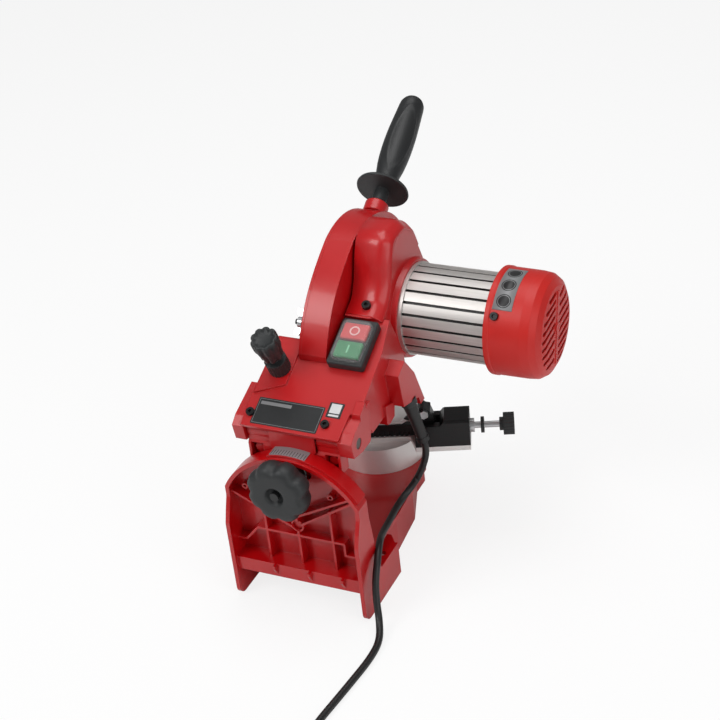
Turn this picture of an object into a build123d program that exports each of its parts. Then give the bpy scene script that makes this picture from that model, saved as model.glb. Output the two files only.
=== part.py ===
from build123d import *
from math import asin, cos, degrees, pi, radians, sin, sqrt, tan
import os

# Bench sharpener for saw chains: a ribbed base with a turning chain vice, a tilting arm on the
# base's arch, and a grinding head that swings down on the arm.  Millimetres, +Z up, X to the
# right along the motor shaft, Y away from the switch side.  Every piece is drawn with Y counted
# from the rear edge of the feet; save() moves it to the part's own origin, which lies on the
# table under the middle of the base's front wall.
ORIGIN_Y = 212.2

# base
FOOT_X = 64.25          # half width over the feet
WALL = 3.8
FOOT_LENGTH = 74.0
LEDGE_Z = 33.0          # top of the bench ledge
LEDGE_T = 4.0
ARCH_R = 72.0
ARCH_Y = 9.0            # rear edge of the arch rim
WEB_Y = 22.0
WEB_T = 3.5
PIVOT_Z = 82.0          # tilt axis, along Y at X = 0
CLAMP_R = 52.0          # clamp bolt from the tilt axis
RIB_Y = 12.5
RIB_T = 2.2
SHELF_Z = 42.0
LIP_Y = 4.0
DECK_Z = 47.0
DECK_T = 4.0
HULL_T = 3.2
SLOT_X = 55.0           # bench bolt slots
SLOT_Y = 56.0
SLOT_R = 3.5
SLOT_LENGTH = 10.0
BAND_R = 74.5           # raised band on the arch that carries the scale
TILT_RANGE = 10.0

# turning vice
TABLE_Y = 187.0
RING_R = 42.4
RING_TOP_R = 41.6
RING_Z = 73.0
VICE_ANGLE = 21.0       # the vice is stored turned by this much
PLATE_Z = 78.0
BLOCK_Z = 105.0
BLOCK_V = -46.7         # rear face of the vice block from the turning axis
ROD_V = -33.0
ROD_Z = 91.0

# arm and head
HINGE_Y = 36.0
HINGE_Z = 165.0
PIN_R = 5.0
ARM_Y = 26.2
ARM_T = 13.0
ARM_X = 44.0
SPRING_X = 22.0         # half width of the gap that holds the return spring
HEAD_LEFT = -55.0       # outer faces of the head's hinge ears
HEAD_RIGHT = 58.0
KNOB_Y = -17.0          # front face of the star knob
PANEL_Y = 21.0          # rear bottom edge of the sloping panel
PANEL_Z = 175.0
SLOPE = 25.5            # panel rise in degrees
AXIS_Y = 188.0          # motor and wheel axis, along X
AXIS_Z = 209.0
WHEEL_R = 72.5
WHEEL_BORE_R = 11.1
WHEEL_X = -3.5
WHEEL_T = 4.0
GUARD_R = 82.0
GUARD_X = (-14.3, 9.8)
GUARD_T = 3.0
COVER_T = 2.5
BRACKET_X = (12.0, 45.0)
MOTOR_X = (50.0, 131.75)
MOTOR_R = 41.0
MOTOR_BORE_R = 36.5
CAP_R = 48.3
CAP_END_X = 182.0
CAP_T = 2.5
SHAFT_R = 6.0
BEARING_R = 14.0
BRACKET_R = 48.0
COLLAR_T = 3.5
GUARD_END_DEG = -25.0   # front end of the guard, from level
GUARD_FRONT_Y = 140.0
SHIELD_Y = 110.0        # shield screw on the guard's side
SHIELD_Z = 228.0
SLOT_PITCH = 7.4        # cap vents
VENT_R = 36.0
VENT_LEAN = 13.0        # the middle rib of the vents leans by this much
CAP_SCREW_DEG = 55.0
CABLE_X = 68.0
GLAND = (62.0, 127.5, 152.0)
GLAND_DIR = (0.196, 0.109, -0.9745)
SWITCH_X = 29.0
SWITCH_S = 91.5
PANEL_SCREWS = ((30.0, 13.0), (-41.0, 13.0))
BRACKET_SCREW = (29.0, 134.0, 237.93)
BRACKET_SCREW_DIR = (0, -0.4559, 0.89)
BOSS_L = 3.0
STOP_TIP = 30.0
FIT = 0.05              # radial running clearance
GAP = 0.3               # clearance between parts that pass each other

# depth stop and handle
STOP_X = -30.0
STOP_S = 59.0
STOP_R = 4.0
STOP_PAD_Z = 161.5      # where the depth screw lands on the arm
HANDLE_FOOT = (-3.5, 237.0, 279.0)
HANDLE_DIR = (-0.05, 0.9015, 0.43)

# cord
CORD_R = 3.2
CORD_ROUTE = ((73, 135, 74), (68, 130, 60), (61, 117, 52), (58.6, 99, 50.6), (59.3, 78, 51.3),
              (62.5, 58, 52.5), (68, 39, 53.5), (72, 23, 50), (74, 13, 38), (76, 6, 22), (79, -4, 9),
              (81, -20, CORD_R), (83, -44, CORD_R), (82.5, -72, CORD_R), (81, -100, CORD_R),
              (77.5, -127, CORD_R), (73.1, -154.1, CORD_R))
COIL = (66.0, -198.4)
COIL_R = 45.0
COIL_HOLE_R = 24.0
COIL_H = 20.0
PLUG = (114.15, -262.0)    # the plug lies beside the coil, its lead against the outer turn

PANEL = Plane((0, PANEL_Y, PANEL_Z), x_dir=(1, 0, 0), z_dir=(0, -sin(radians(SLOPE)), cos(radians(SLOPE))))
PANEL_NORMAL = Vector(0, -sin(radians(SLOPE)), cos(radians(SLOPE)))


def save(name, piece):
    """Write one node, moved to the part's own origin."""
    moved = Pos(0, -ORIGIN_Y, 0) * piece
    solids = moved.solids()
    export_step(solids[0] if len(solids) == 1 else Compound(children=list(solids)), f"parts/{name}.step")


def poly(*points):
    return make_face(Polyline(*points, close=True))


def along_x(face, x0, x1):
    """Extrude a face drawn in (Y, Z) from x0 to x1."""
    return extrude(Plane((x0, 0, 0), x_dir=(0, 1, 0), z_dir=(1, 0, 0)) * face, x1 - x0)


def along_y(face, y0, y1):
    """Extrude a face drawn in (X, Z) from y0 to y1."""
    return extrude(Plane((0, y1, 0), x_dir=(1, 0, 0), z_dir=(0, -1, 0)) * face, y1 - y0)


def along_z(face, z0, z1):
    """Extrude a face drawn in (X, Y) from z0 to z1."""
    return extrude(Pos(0, 0, z0) * face, z1 - z0)


def rod(start, direction, radius, length):
    """A round bar from a point along a direction."""
    return extrude(Plane(start, z_dir=direction) * Circle(radius), length)


def tube(start, direction, outer, inner, length):
    return extrude(Plane(start, z_dir=direction) * (Circle(outer) - Circle(inner)), length)


def turned(plane, profile):
    """Revolve a closed (radius, height) outline about the plane's normal."""
    outline = Plane(plane.origin, x_dir=plane.x_dir, z_dir=-plane.y_dir) * poly(*profile)
    return revolve(outline, Axis(plane.origin, plane.z_dir), 360)


def lobed(radius, lobes, scallop, depth):
    """A star knob outline: a circle with a shallow scallop between lobes."""
    face = Circle(radius)
    for i in range(lobes):
        face -= Rot(0, 0, (i + 0.5) * 360 / lobes) * Pos(radius + scallop - depth, 0) * Circle(scallop)
    return face


def socket_screw(seat, head_r, head_t, shank_r, shank_l):
    """A socket head screw standing on a plane, its shank below."""
    socket = extrude(seat * Pos(0, 0, head_t) * RegularPolygon(head_r / 2, 6), -2)
    screw = extrude(seat * Circle(head_r), head_t) - socket
    return screw + extrude(seat * Circle(shank_r), -shank_l)


def panel_point(x, s, height=0.0):
    """A point on the sloping panel: x across, s up the slope, height off its face."""
    return PANEL.from_local_coords((x, s, height))


def build_base():
    """The base moulding: side walls and feet, ribbed arch, bench ledges, deck and hull."""
    side = poly((0, 0), (FOOT_LENGTH, 0), (FOOT_LENGTH, LEDGE_Z), (38, LEDGE_Z), (31, 62), (26, 96),
                (WEB_Y + WEB_T, 112), (WEB_Y + WEB_T, 118), (ARCH_Y, 118), (ARCH_Y, 105), (4, 92), (0, 80))
    corners = side.vertices().sort_by(Axis.Y)
    side = fillet([v for v in corners if v.X < 9.5 and v.Y > 75 and v.Y < 110], 8)
    side = fillet([v for v in side.vertices() if v.X < 1 and v.Y < 1], 9)
    walls = along_x(side, FOOT_X - WALL, FOOT_X) + along_x(side, -FOOT_X, WALL - FOOT_X)

    spring_z = PIVOT_Z + sqrt(ARCH_R ** 2 - FOOT_X ** 2)
    foot = 60.0

    def tombstone(inset):
        half = FOOT_X - inset
        radius = ARCH_R - inset
        shoulder = PIVOT_Z + sqrt(radius ** 2 - half ** 2)
        outline = Polyline((half, shoulder), (half, foot), (-half, foot), (-half, shoulder))
        outline += ThreePointArc((-half, shoulder), (0, PIVOT_Z + radius), (half, shoulder))
        return make_face(outline)

    top_only = along_y(Pos(0, spring_z - 8 + 60) * Rectangle(200, 120), 0, 60)
    arch = along_y(tombstone(0) - tombstone(WALL), ARCH_Y, WEB_Y + WEB_T) & top_only
    body = walls + arch & along_y(tombstone(0) + Pos(0, 30) * Rectangle(2 * FOOT_X, 60), 0, FOOT_LENGTH)

    web = Pos(0, 60) * Rectangle(2 * FOOT_X - 2, 54 + 2) + tombstone(1)
    body += along_y(web, WEB_Y, WEB_Y + WEB_T)
    body += Pos(0, (LIP_Y + WEB_Y + 1) / 2, SHELF_Z - 1.5) * Box(2 * FOOT_X - 2, WEB_Y + 1 - LIP_Y, 3)
    body += Pos(0, LIP_Y + 1.2, SHELF_Z - 7.5) * Box(2 * FOOT_X - 2, 2.4, 12)
    gusset = poly((4.2, SHELF_Z), (4.2, 31), (-0.2, SHELF_Z - 3.2), (-0.2, SHELF_Z))
    for x in (-22.0, 12.0, 44.0):
        body += along_x(gusset, x - RIB_T / 2, x + RIB_T / 2)

    rib_top = {-30.8: 90.0, 0.6: 117.0, 33.6: 105.0}
    for x, top in rib_top.items():
        rib_z = (SHELF_Z + top) / 2 - 1
        body += Pos(x, (RIB_Y + WEB_Y) / 2, rib_z) * Box(RIB_T, WEB_Y - RIB_Y, top - SHELF_Z + 2)
    mid_z = 72.0
    cross = Polyline((-FOOT_X + 2, 57), (-53, 57), (-40, mid_z), (45, mid_z))
    body += along_y(trace(cross, RIB_T), RIB_Y, WEB_Y)
    body += along_y(trace(Polyline((43, 73), (43, 58), (FOOT_X - 2, 58)), RIB_T), RIB_Y + 2, WEB_Y)
    for low, high in (((4, 84), (59.2, 119.6)), ((1, 92.5), (57.2, 122.9)), ((-4, 80.5), (-62.5, 108.8))):
        body += along_y(trace(Polyline(low, high), RIB_T), RIB_Y, WEB_Y)
    body += tube((0, RIB_Y + 1, PIVOT_Z), (0, 1, 0), 6.2, 4.6, WEB_Y - RIB_Y)
    for x, z in ((34, 116.5), (-49, 112)):
        body += tube((x, WEB_Y - 5, z), (0, 1, 0), 3.0, 1.4, 5.5)

    low, high = radians(90 + degrees(asin(19 / BAND_R))), radians(31)
    sector = poly((0, PIVOT_Z), (120 * cos(low), PIVOT_Z + 120 * sin(low)), (60, PIVOT_Z + 120),
                  (120 * cos(high), PIVOT_Z + 120 * sin(high)))
    band = (Pos(0, PIVOT_Z) * (Circle(BAND_R) - Circle(ARCH_R - 1))) & sector
    body += along_y(band, ARCH_Y + 2.5, WEB_Y + WEB_T)
    fan = poly((0, PIVOT_Z), (-27, PIVOT_Z + 117), (27, PIVOT_Z + 117))
    strip = (Pos(0, PIVOT_Z) * (Circle(BAND_R + 0.6) - Circle(BAND_R))) & fan
    save("tilt_scale", along_y(strip, ARCH_Y + 3.5, WEB_Y + WEB_T - 1))

    slot = Pos(0, PIVOT_Z) * SlotArc(CenterArc((0, 0), CLAMP_R, 90 - TILT_RANGE - 2, 2 * TILT_RANGE + 4), 10)
    body -= along_y(slot, WEB_Y - 1, WEB_Y + WEB_T + 1)
    body -= rod((0, RIB_Y - 5, PIVOT_Z), (0, 1, 0), 4.1, 30)
    body -= rod((0, RIB_Y - 5, PIVOT_Z), (0, 1, 0), 4.7, WEB_Y - 3.4 - RIB_Y + 5)

    half_plan = [(0, 24), (56, 24), (56, 60), (56, 100), (51.5, 172), (39, 203)]
    plan = poly(*half_plan, *[(-x, y) for x, y in reversed(half_plan[1:])])
    deck_plan = plan + Pos(0, TABLE_Y) * Circle(RING_R)
    body += along_z(deck_plan, DECK_Z - DECK_T, DECK_Z)
    hull_half = [(49.5, 26), (49.5, 104), (45.5, 150), (31, 190), (31, 214)]
    hull_plan = poly(*hull_half, *[(-x, y) for x, y in reversed(hull_half)])
    hull_plan = fillet([v for v in hull_plan.vertices() if v.Y > 200], 6)
    hull = along_z(hull_plan, 0, DECK_Z - 1) - along_z(offset(hull_plan, -HULL_T), -1, DECK_Z - DECK_T)
    body += hull & (Pos(0, 142, 40) * Box(200, 204, 120))
    body -= Pos(0, 33, 12) * Box(2 * 46, 26, 34)
    ledge = poly((48, 24), (FOOT_X - 1, 24), (FOOT_X - 1, FOOT_LENGTH - 3), (54, 83), (48, 83))
    for side_sign in (1, -1):
        shelf = along_z(ledge if side_sign > 0 else mirror(ledge, Plane.YZ), LEDGE_Z - LEDGE_T, LEDGE_Z)
        body += shelf
        hole = Pos(side_sign * SLOT_X, SLOT_Y) * SlotOverall(SLOT_LENGTH, 2 * SLOT_R)
        body -= along_z(hole, LEDGE_Z - LEDGE_T - 1, LEDGE_Z + 1)
    body += rod((0, TABLE_Y, DECK_Z - 12), (0, 0, 1), 12, 11)
    body -= rod((0, TABLE_Y, DECK_Z - 14), (0, 0, 1), 5.2, 20)
    for y in (70, 110, 150):
        body += Pos(0, y, DECK_Z - DECK_T - 5.5) * Box(90 if y < 140 else 84, 2.4, 12)
    return body


def build_arm():
    """The tilt arm: a cast plate on the arch's web with pockets and two hinge barrels on top."""
    top = HINGE_Z + 12
    half = [(9, PIVOT_Z - 9), (14, PIVOT_Z + 6), (24, 112), (ARM_X, 136), (ARM_X, top)]
    outline = poly(*half, *[(-x, z) for x, z in reversed(half)])
    outline = fillet(outline.vertices().sort_by(Axis.Y)[:2], 6)
    front = ARM_Y + ARM_T
    profile = poly((ARM_Y, 60), (front, 60), (front, 149), (HINGE_Y + 8.5, 156), (HINGE_Y + 8.5, HINGE_Z),
                   (HINGE_Y - 8, HINGE_Z), (HINGE_Y - 8, 156), (ARM_Y, 153))
    profile += Pos(HINGE_Y, HINGE_Z) * Circle(9)
    arm = along_x(profile, -ARM_X, ARM_X) & along_y(outline, ARM_Y - 5, HINGE_Y + 20)
    for side in (1, -1):
        arm -= Pos(side * 35.5, ARM_Y + 3, 146.5) * Box(12, 14, 15)
        arm += rod((side * 35.5, ARM_Y + 4, 147), (0, 1, 0), 4.2, 8)
        arm -= Pos(side * 17.5, front, 124) * Box(12, 12, 18)
    tongue = poly((ARM_Y + ARM_T - 2, 140), (ARM_Y + ARM_T - 2, 156), (96, STOP_PAD_Z), (96, STOP_PAD_Z - 6))
    arm += along_x(tongue, STOP_X - 7, STOP_X + 7)
    arm -= rod((-100, HINGE_Y, HINGE_Z), (1, 0, 0), PIN_R + FIT, 200)
    arm -= Pos(0, HINGE_Y, HINGE_Z + 1) * Box(2 * SPRING_X, 24, 24)
    arm -= rod((0, 0, PIVOT_Z), (0, 1, 0), 4.1, 80)
    arm -= rod((0, 0, PIVOT_Z + CLAMP_R), (0, 1, 0), 4.2, 80)
    pocket_hex = Plane((0, ARM_Y + ARM_T, PIVOT_Z + CLAMP_R), z_dir=(0, -1, 0))
    arm -= extrude(pocket_hex * RegularPolygon(7.7, 6), 4.5)
    return arm


def build_tilt_parts():
    """The pivot bolt, the clamp bolt with its washer, and the star knob that clamps the tilt."""
    pivot = rod((0, WEB_Y - 6, PIVOT_Z), (0, 1, 0), 3.95, ARM_Y + ARM_T + 7.5 - WEB_Y + 6)
    head = rod((0, WEB_Y - 6, PIVOT_Z), (0, 1, 0), 4.4, 2.5) - rod((0, WEB_Y - 7, PIVOT_Z), (0, 1, 0), 2, 3)
    nut_plane = Plane((0, ARM_Y + ARM_T + 0.2, PIVOT_Z), z_dir=(0, 1, 0))
    nut = extrude(nut_plane * (RegularPolygon(7.5, 6) - Circle(3.95)), 6)
    save("tilt_pivot_bolt", pivot + head + nut)

    z = PIVOT_Z + CLAMP_R
    bolt = rod((0, KNOB_Y, z), (0, 1, 0), 4.0, ARM_Y + ARM_T - 4.4 - KNOB_Y)
    bolt_head = Plane((0, ARM_Y + ARM_T - 4.4, z), z_dir=(0, 1, 0))
    save("clamp_bolt", bolt + extrude(bolt_head * RegularPolygon(7.5, 6), 5.5))
    save("clamp_washer", tube((0, WEB_Y - 2, z), (0, 1, 0), 12, 4.2, 1.98))

    rear = Plane((0, KNOB_Y + 25, z), x_dir=(1, 0, 0), z_dir=(0, -1, 0))
    knob = extrude(rear * lobed(28.5, 8, 9.5, 3.6), 25)
    knob = fillet(knob.faces().sort_by(Axis.Y)[0].edges(), 3)
    knob -= rod((0, KNOB_Y - 1, z), (0, 1, 0), 8.5, 11)
    knob += rod((0, KNOB_Y + 24, z), (0, 1, 0), 12, WEB_Y - 2.1 - KNOB_Y - 24)
    knob -= rod((0, KNOB_Y - 1, z), (0, 1, 0), 4.0 + FIT, 60)
    save("star_knob", knob)


def build_hinge():
    """The hinge pin through arm and head, and the torsion spring on it."""
    pin = rod((HEAD_LEFT + 0.5, HINGE_Y, HINGE_Z), (1, 0, 0), PIN_R - 0.02, HEAD_RIGHT - 1 - HEAD_LEFT)
    save("hinge_pin", pin)
    coil = None
    pitch = 3.4
    turns = int((2 * SPRING_X - 8) / pitch)
    for i in range(turns):
        ring = Pos(-SPRING_X + 5 + i * pitch, HINGE_Y, HINGE_Z) * Rot(0, 90, 0) * Torus(7.6, 1.5)
        coil = ring if coil is None else coil + ring
    coil += Pos(0, HINGE_Y, HINGE_Z - 7.6) * Box(2 * SPRING_X - 10, 1.6, 1.6)
    coil += Pos(-SPRING_X + 5, HINGE_Y, HINGE_Z - 9.4) * Box(1.8, 1.8, 3.2)
    save("head_spring", coil)


def guard_outline():
    """The wheel guard seen along the shaft: a curved nose over the wheel, flat where it meets the panel."""
    angle = radians(GUARD_END_DEG)
    front = (AXIS_Y + GUARD_R * cos(angle), AXIS_Z + GUARD_R * sin(angle))
    top = (AXIS_Y, AXIS_Z + GUARD_R)
    rear = (AXIS_Y - 29, AXIS_Z + sqrt(GUARD_R ** 2 - 29 ** 2))
    lines = Polyline(front, (GUARD_FRONT_Y, front[1]), (132, 226.5), (86, 204.5), (85, 212))
    lines += Spline((85, 212), (91, 225), (105, 246), (129, 267.5), rear)
    lines += ThreePointArc(rear, top, front)
    return make_face(lines)


def guard_nose_hollow():
    """The hollow of the guard's nose, which runs into the round space of the wheel."""
    radius = GUARD_R - GUARD_T
    rear = (AXIS_Y - 28, AXIS_Z + sqrt(radius ** 2 - 28 ** 2))
    lines = Polyline(rear, (170, 231), (134.4, 231), (88.6, 209), (88.2, 211.6))
    lines += Spline((88.2, 211.6), (93.6, 223.4), (107.2, 243.9), (130.7, 265.1), rear)
    return make_face(lines)


def bracket_shoulder():
    """The tall shoulder of the spindle bracket, seen along the shaft."""
    return poly((127, 222.5), (127, 225.6), (123.6, 232.6), (140, 241), (148, 256), (152, 271), (160, 288),
                (174, 294), (190, 294), (212, 280), (234, 232), (204, 170), (150, 162), (141, 190),
                (133, 215))


def build_head():
    """The head casting: a hollow sloping box with hinge ears, spindle bracket and cable housing."""
    plan = [(-46, 0), (46.6, 0), (47.6, 26), (56, 33), (55, 90), (50, 123.5), (-17, 123.5), (-17, 92),
            (-45, 92), (-47, 26)]
    skin = 3.2
    reach = Pos(0, 80, 207.5) * Box(300, 145, 105)
    outer = extrude(PANEL * poly(*plan), -95) & reach
    inner = extrude(PANEL * Pos(0, 0, -skin) * offset(poly(*plan), -skin), -95)
    slab = (Pos(0, 80, 207.5) * Box(300, 145, 300))
    body = outer - (inner & slab)

    shoulder = bracket_shoulder()
    round_end = Pos(AXIS_Y, AXIS_Z) * Circle(BRACKET_R)
    bend_x = BRACKET_X[1] - 10
    body += along_x(shoulder, BRACKET_X[0], bend_x)
    body += extrude(Plane((bend_x, 0, 0), x_dir=(0, 1, 0), z_dir=(1, 0, 0)) * shoulder, 10, taper=35)
    spindle = Plane((0, AXIS_Y, AXIS_Z), z_dir=(1, 0, 0))
    body += turned(spindle, [(0, BRACKET_X[0]), (BRACKET_R, BRACKET_X[0]), (BRACKET_R, bend_x),
                             (BRACKET_R - 3.5, MOTOR_X[0]), (0, MOTOR_X[0])])
    hollow = along_x(offset(shoulder, -skin), BRACKET_X[0] - 1, bend_x)
    hollow += along_x(Pos(AXIS_Y, AXIS_Z) * Circle(BRACKET_R - skin), BRACKET_X[0] - 1, bend_x)
    body -= hollow
    body -= rod((40, AXIS_Y, AXIS_Z), (1, 0, 0), MOTOR_BORE_R, 20)
    body += rod((GUARD_X[1], AXIS_Y, AXIS_Z), (1, 0, 0), 19, 30)
    body -= rod((0, AXIS_Y, AXIS_Z), (1, 0, 0), 8.5, 60)
    body -= rod((29, AXIS_Y, AXIS_Z), (1, 0, 0), BEARING_R, 30)

    cable = poly((102, 192), (117, 199), (134, 177), (149.5, 140), (141, 139.5), (138, 148.5), (107, 158))
    body += along_x(cable, 44, CABLE_X)
    body -= along_x(offset(cable, -skin), 40, CABLE_X - skin)
    body += along_x(poly((92, 166), (92, 147), (97, 145), (107, 147), (110, 160)), 50, 58)
    body -= rod(Vector(*GLAND) - Vector(*GLAND_DIR) * 8, GLAND_DIR, 5.0, 14)
    body -= rod(Vector(*GLAND) - Vector(*GLAND_DIR), GLAND_DIR, 7.4, 20)

    ear = poly((25, 156.5), (41, 153), (58, 153), (64, 190), (30, 178), (22, 172))
    ear = fillet(ear.vertices().sort_by(Axis.Y)[:2], 3)
    body += along_x(ear, ARM_X + GAP + 0.2, HEAD_RIGHT)
    body += along_x(ear, HEAD_LEFT, -ARM_X - GAP - 0.2)
    body -= along_x(Pos(HINGE_Y, HINGE_Z) * Rectangle(36, 34), -ARM_X - GAP, ARM_X + GAP) & reach_under()
    body -= rod((-100, HINGE_Y, HINGE_Z), (1, 0, 0), PIN_R, 200)
    body += along_x(poly((44, 169), (56, 173), (56, 194), (44, 188)), 50, HEAD_RIGHT)

    raised = poly((-45, 32), (-19, 44), (-19, 90), (-43, 90))
    body += extrude(PANEL * raised, 2)
    body += extrude(PANEL * Pos(STOP_X, STOP_S) * Circle(11), -24)
    body -= extrude(PANEL * Pos(STOP_X, STOP_S, 3) * Circle(STOP_R + 0.1), -40)

    body -= along_x(guard_outline(), -COVER_T + GUARD_X[0], GUARD_X[1])
    wheel_space = GUARD_X[1] - GUARD_X[0] + COVER_T
    body -= rod((GUARD_X[0] - COVER_T, AXIS_Y, AXIS_Z), (1, 0, 0), GUARD_R - GUARD_T, wheel_space)
    body -= extrude(PANEL * Pos(SWITCH_X, SWITCH_S, 1) * Rectangle(30, 43), -12)
    for x, s in PANEL_SCREWS:
        body -= extrude(PANEL * Pos(x, s, 3) * Circle(2.1), -14)
    body -= extrude(PANEL * Pos(27, 120.5, 0.5) * Rectangle(34, 1.6), -1.8)
    body -= rod(Vector(*BRACKET_SCREW) - Vector(*BRACKET_SCREW_DIR) * 12, BRACKET_SCREW_DIR, 2.1, 16)
    screws = [socket_screw(PANEL * Pos(x, s), 3.8, 2.6, 2.05, 5) for x, s in PANEL_SCREWS]
    screws.append(socket_screw(Plane(BRACKET_SCREW, z_dir=BRACKET_SCREW_DIR), 4.0, 4.0, 2.05, 9))
    save("head_screws", Compound(children=screws))
    return body


def reach_under():
    """The space the arm's barrels sweep, below the panel's skin."""
    return extrude(PANEL * Pos(0, 20, -3.2) * Rectangle(2 * ARM_X + 2, 70), -60)


def build_guard():
    """The wheel guard casting, its side cover, the clear side shield and the wing nut that holds it."""
    outline = guard_outline()
    x0, x1 = GUARD_X
    guard = along_x(outline, x0, x1)
    guard -= along_x(guard_nose_hollow(), x0 - 1, x1 - GUARD_T)
    guard -= rod((x0 - 1, AXIS_Y, AXIS_Z), (1, 0, 0), GUARD_R - GUARD_T, x1 - GUARD_T - x0 + 1)
    guard -= rod((x1 - 5, AXIS_Y, AXIS_Z), (1, 0, 0), 19.1, 10)
    grip_axis = Vector(*HANDLE_DIR).normalized()
    foot = Vector(*HANDLE_FOOT) - grip_axis * 9
    boss = rod(foot, grip_axis, 11, 9 + BOSS_L)
    boss = chamfer(boss.edges().group_by(Axis.Y)[-1], 1.5)
    guard += boss - rod((-30, AXIS_Y, AXIS_Z), (1, 0, 0), GUARD_R - 3.5, 60)
    guard -= rod(HANDLE_FOOT, grip_axis, 4.0, 40) + rod(foot, grip_axis, 4.0, 12)
    save("wheel_guard", guard)

    cover = along_x(outline, x0 - COVER_T, x0)
    cover -= rod((x0 - 5, SHIELD_Y, SHIELD_Z), (1, 0, 0), 2.5, 10)
    save("guard_cover", cover)

    shield_x = x0 - COVER_T - 1.2
    inner, outer = 52, GUARD_R + 1
    ring = Pos(AXIS_Y, AXIS_Z) * (Circle(outer) - Circle(inner))
    sector = poly((AXIS_Y, AXIS_Z), (112, 236), (108.5, 220), (138, 158), (150, 120), (160, 120))
    pane = ring & sector
    pane += Pos(SHIELD_Y, SHIELD_Z) * Circle(9)
    pane -= Pos(SHIELD_Y, SHIELD_Z) * Circle(2.6)
    save("guard_shield", along_x(pane, shield_x - 2, shield_x))
    screw = rod((x0 - 0.01, SHIELD_Y, SHIELD_Z), (-1, 0, 0), 2.5, COVER_T + 12)
    spacer = tube((x0 - COVER_T, SHIELD_Y, SHIELD_Z), (-1, 0, 0), 5, 2.5, 1.2)
    save("shield_screw", screw + spacer)
    nut = tube((shield_x - 2.05, SHIELD_Y, SHIELD_Z), (-1, 0, 0), 5, 2.5, 6)
    for side in (1, -1):
        wing = poly((3, 0), (12, 4), (12, 9), (7, 9), (3, 5))
        along = (0, cos(0.9) * side, sin(0.9) * side)
        across = (0, -sin(0.9) * side, cos(0.9) * side)
        plane = Plane((shield_x - 2.05, SHIELD_Y, SHIELD_Z), x_dir=along, z_dir=across)
        blade = extrude(plane * wing, 1, both=True)
        nut += blade
    save("wing_nut", nut - rod((shield_x, SHIELD_Y, SHIELD_Z), (-1, 0, 0), 2.5 + FIT, 20))


def build_spindle():
    """Everything that turns with the shaft: wheel, flanges, nut, rotor and fan, on two bearings."""
    wx = WHEEL_X - WHEEL_T / 2
    profile = [(SHAFT_R - 1, wx - 8.5), (SHAFT_R - 1, 3), (7, 3), (7, 30), (SHAFT_R - FIT, 30),
               (SHAFT_R - FIT, 38), (8, 38), (8, 60), (SHAFT_R, 60), (SHAFT_R, 94), (7, 94), (7, 133),
               (5 - FIT, 133), (5 - FIT, 162)]
    shaft = turned(Plane((0, AXIS_Y, AXIS_Z), z_dir=(1, 0, 0)), [(0, wx - 8.5), *profile, (0, 162)])
    save("motor_shaft", shaft)
    disc = tube((wx, AXIS_Y, AXIS_Z), (1, 0, 0), WHEEL_R, WHEEL_BORE_R, WHEEL_T)
    disc = chamfer(disc.edges().filter_by(GeomType.CIRCLE).sort_by(SortBy.RADIUS)[-2:], 1.2)
    save("grinding_wheel", disc)
    inner_profile = [(5, 0.6), (WHEEL_BORE_R, 0.6), (WHEEL_BORE_R, WHEEL_T), (20, WHEEL_T), (18, 3 - wx),
                     (5, 3 - wx)]
    inner = turned(Plane((wx, AXIS_Y, AXIS_Z), z_dir=(1, 0, 0)), inner_profile)
    outer = turned(Plane((wx, AXIS_Y, AXIS_Z), z_dir=(1, 0, 0)), [(5, -3), (18, -3), (20, 0), (5, 0)])
    save("wheel_flanges", Compound(children=[inner, outer]))
    nut = extrude(Plane((wx - 3, AXIS_Y, AXIS_Z), z_dir=(-1, 0, 0)) * (RegularPolygon(9.2, 6) - Circle(5)), 5)
    save("spindle_nut", nut)
    save("rotor_core", tube((61, AXIS_Y, AXIS_Z), (1, 0, 0), 20.6, SHAFT_R, 32))
    fan = tube((145, AXIS_Y, AXIS_Z), (1, 0, 0), 9, 5 - FIT, 12)
    fan += tube((145, AXIS_Y, AXIS_Z), (1, 0, 0), 36, 8, 2)
    for i in range(9):
        fan += Pos(0, AXIS_Y, AXIS_Z) * Rot(i * 40, 0, 0) * Pos(151, 0, 22) * Rot(0, 0, 18) * Box(11, 1.8, 27)
    save("cooling_fan", fan)
    front = tube((30.1, AXIS_Y, AXIS_Z), (1, 0, 0), BEARING_R, SHAFT_R, 7.8)
    rear = tube((133.2, AXIS_Y, AXIS_Z), (1, 0, 0), BEARING_R - 1, 5, 8)
    save("bearings", Compound(children=[front, rear]))


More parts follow.
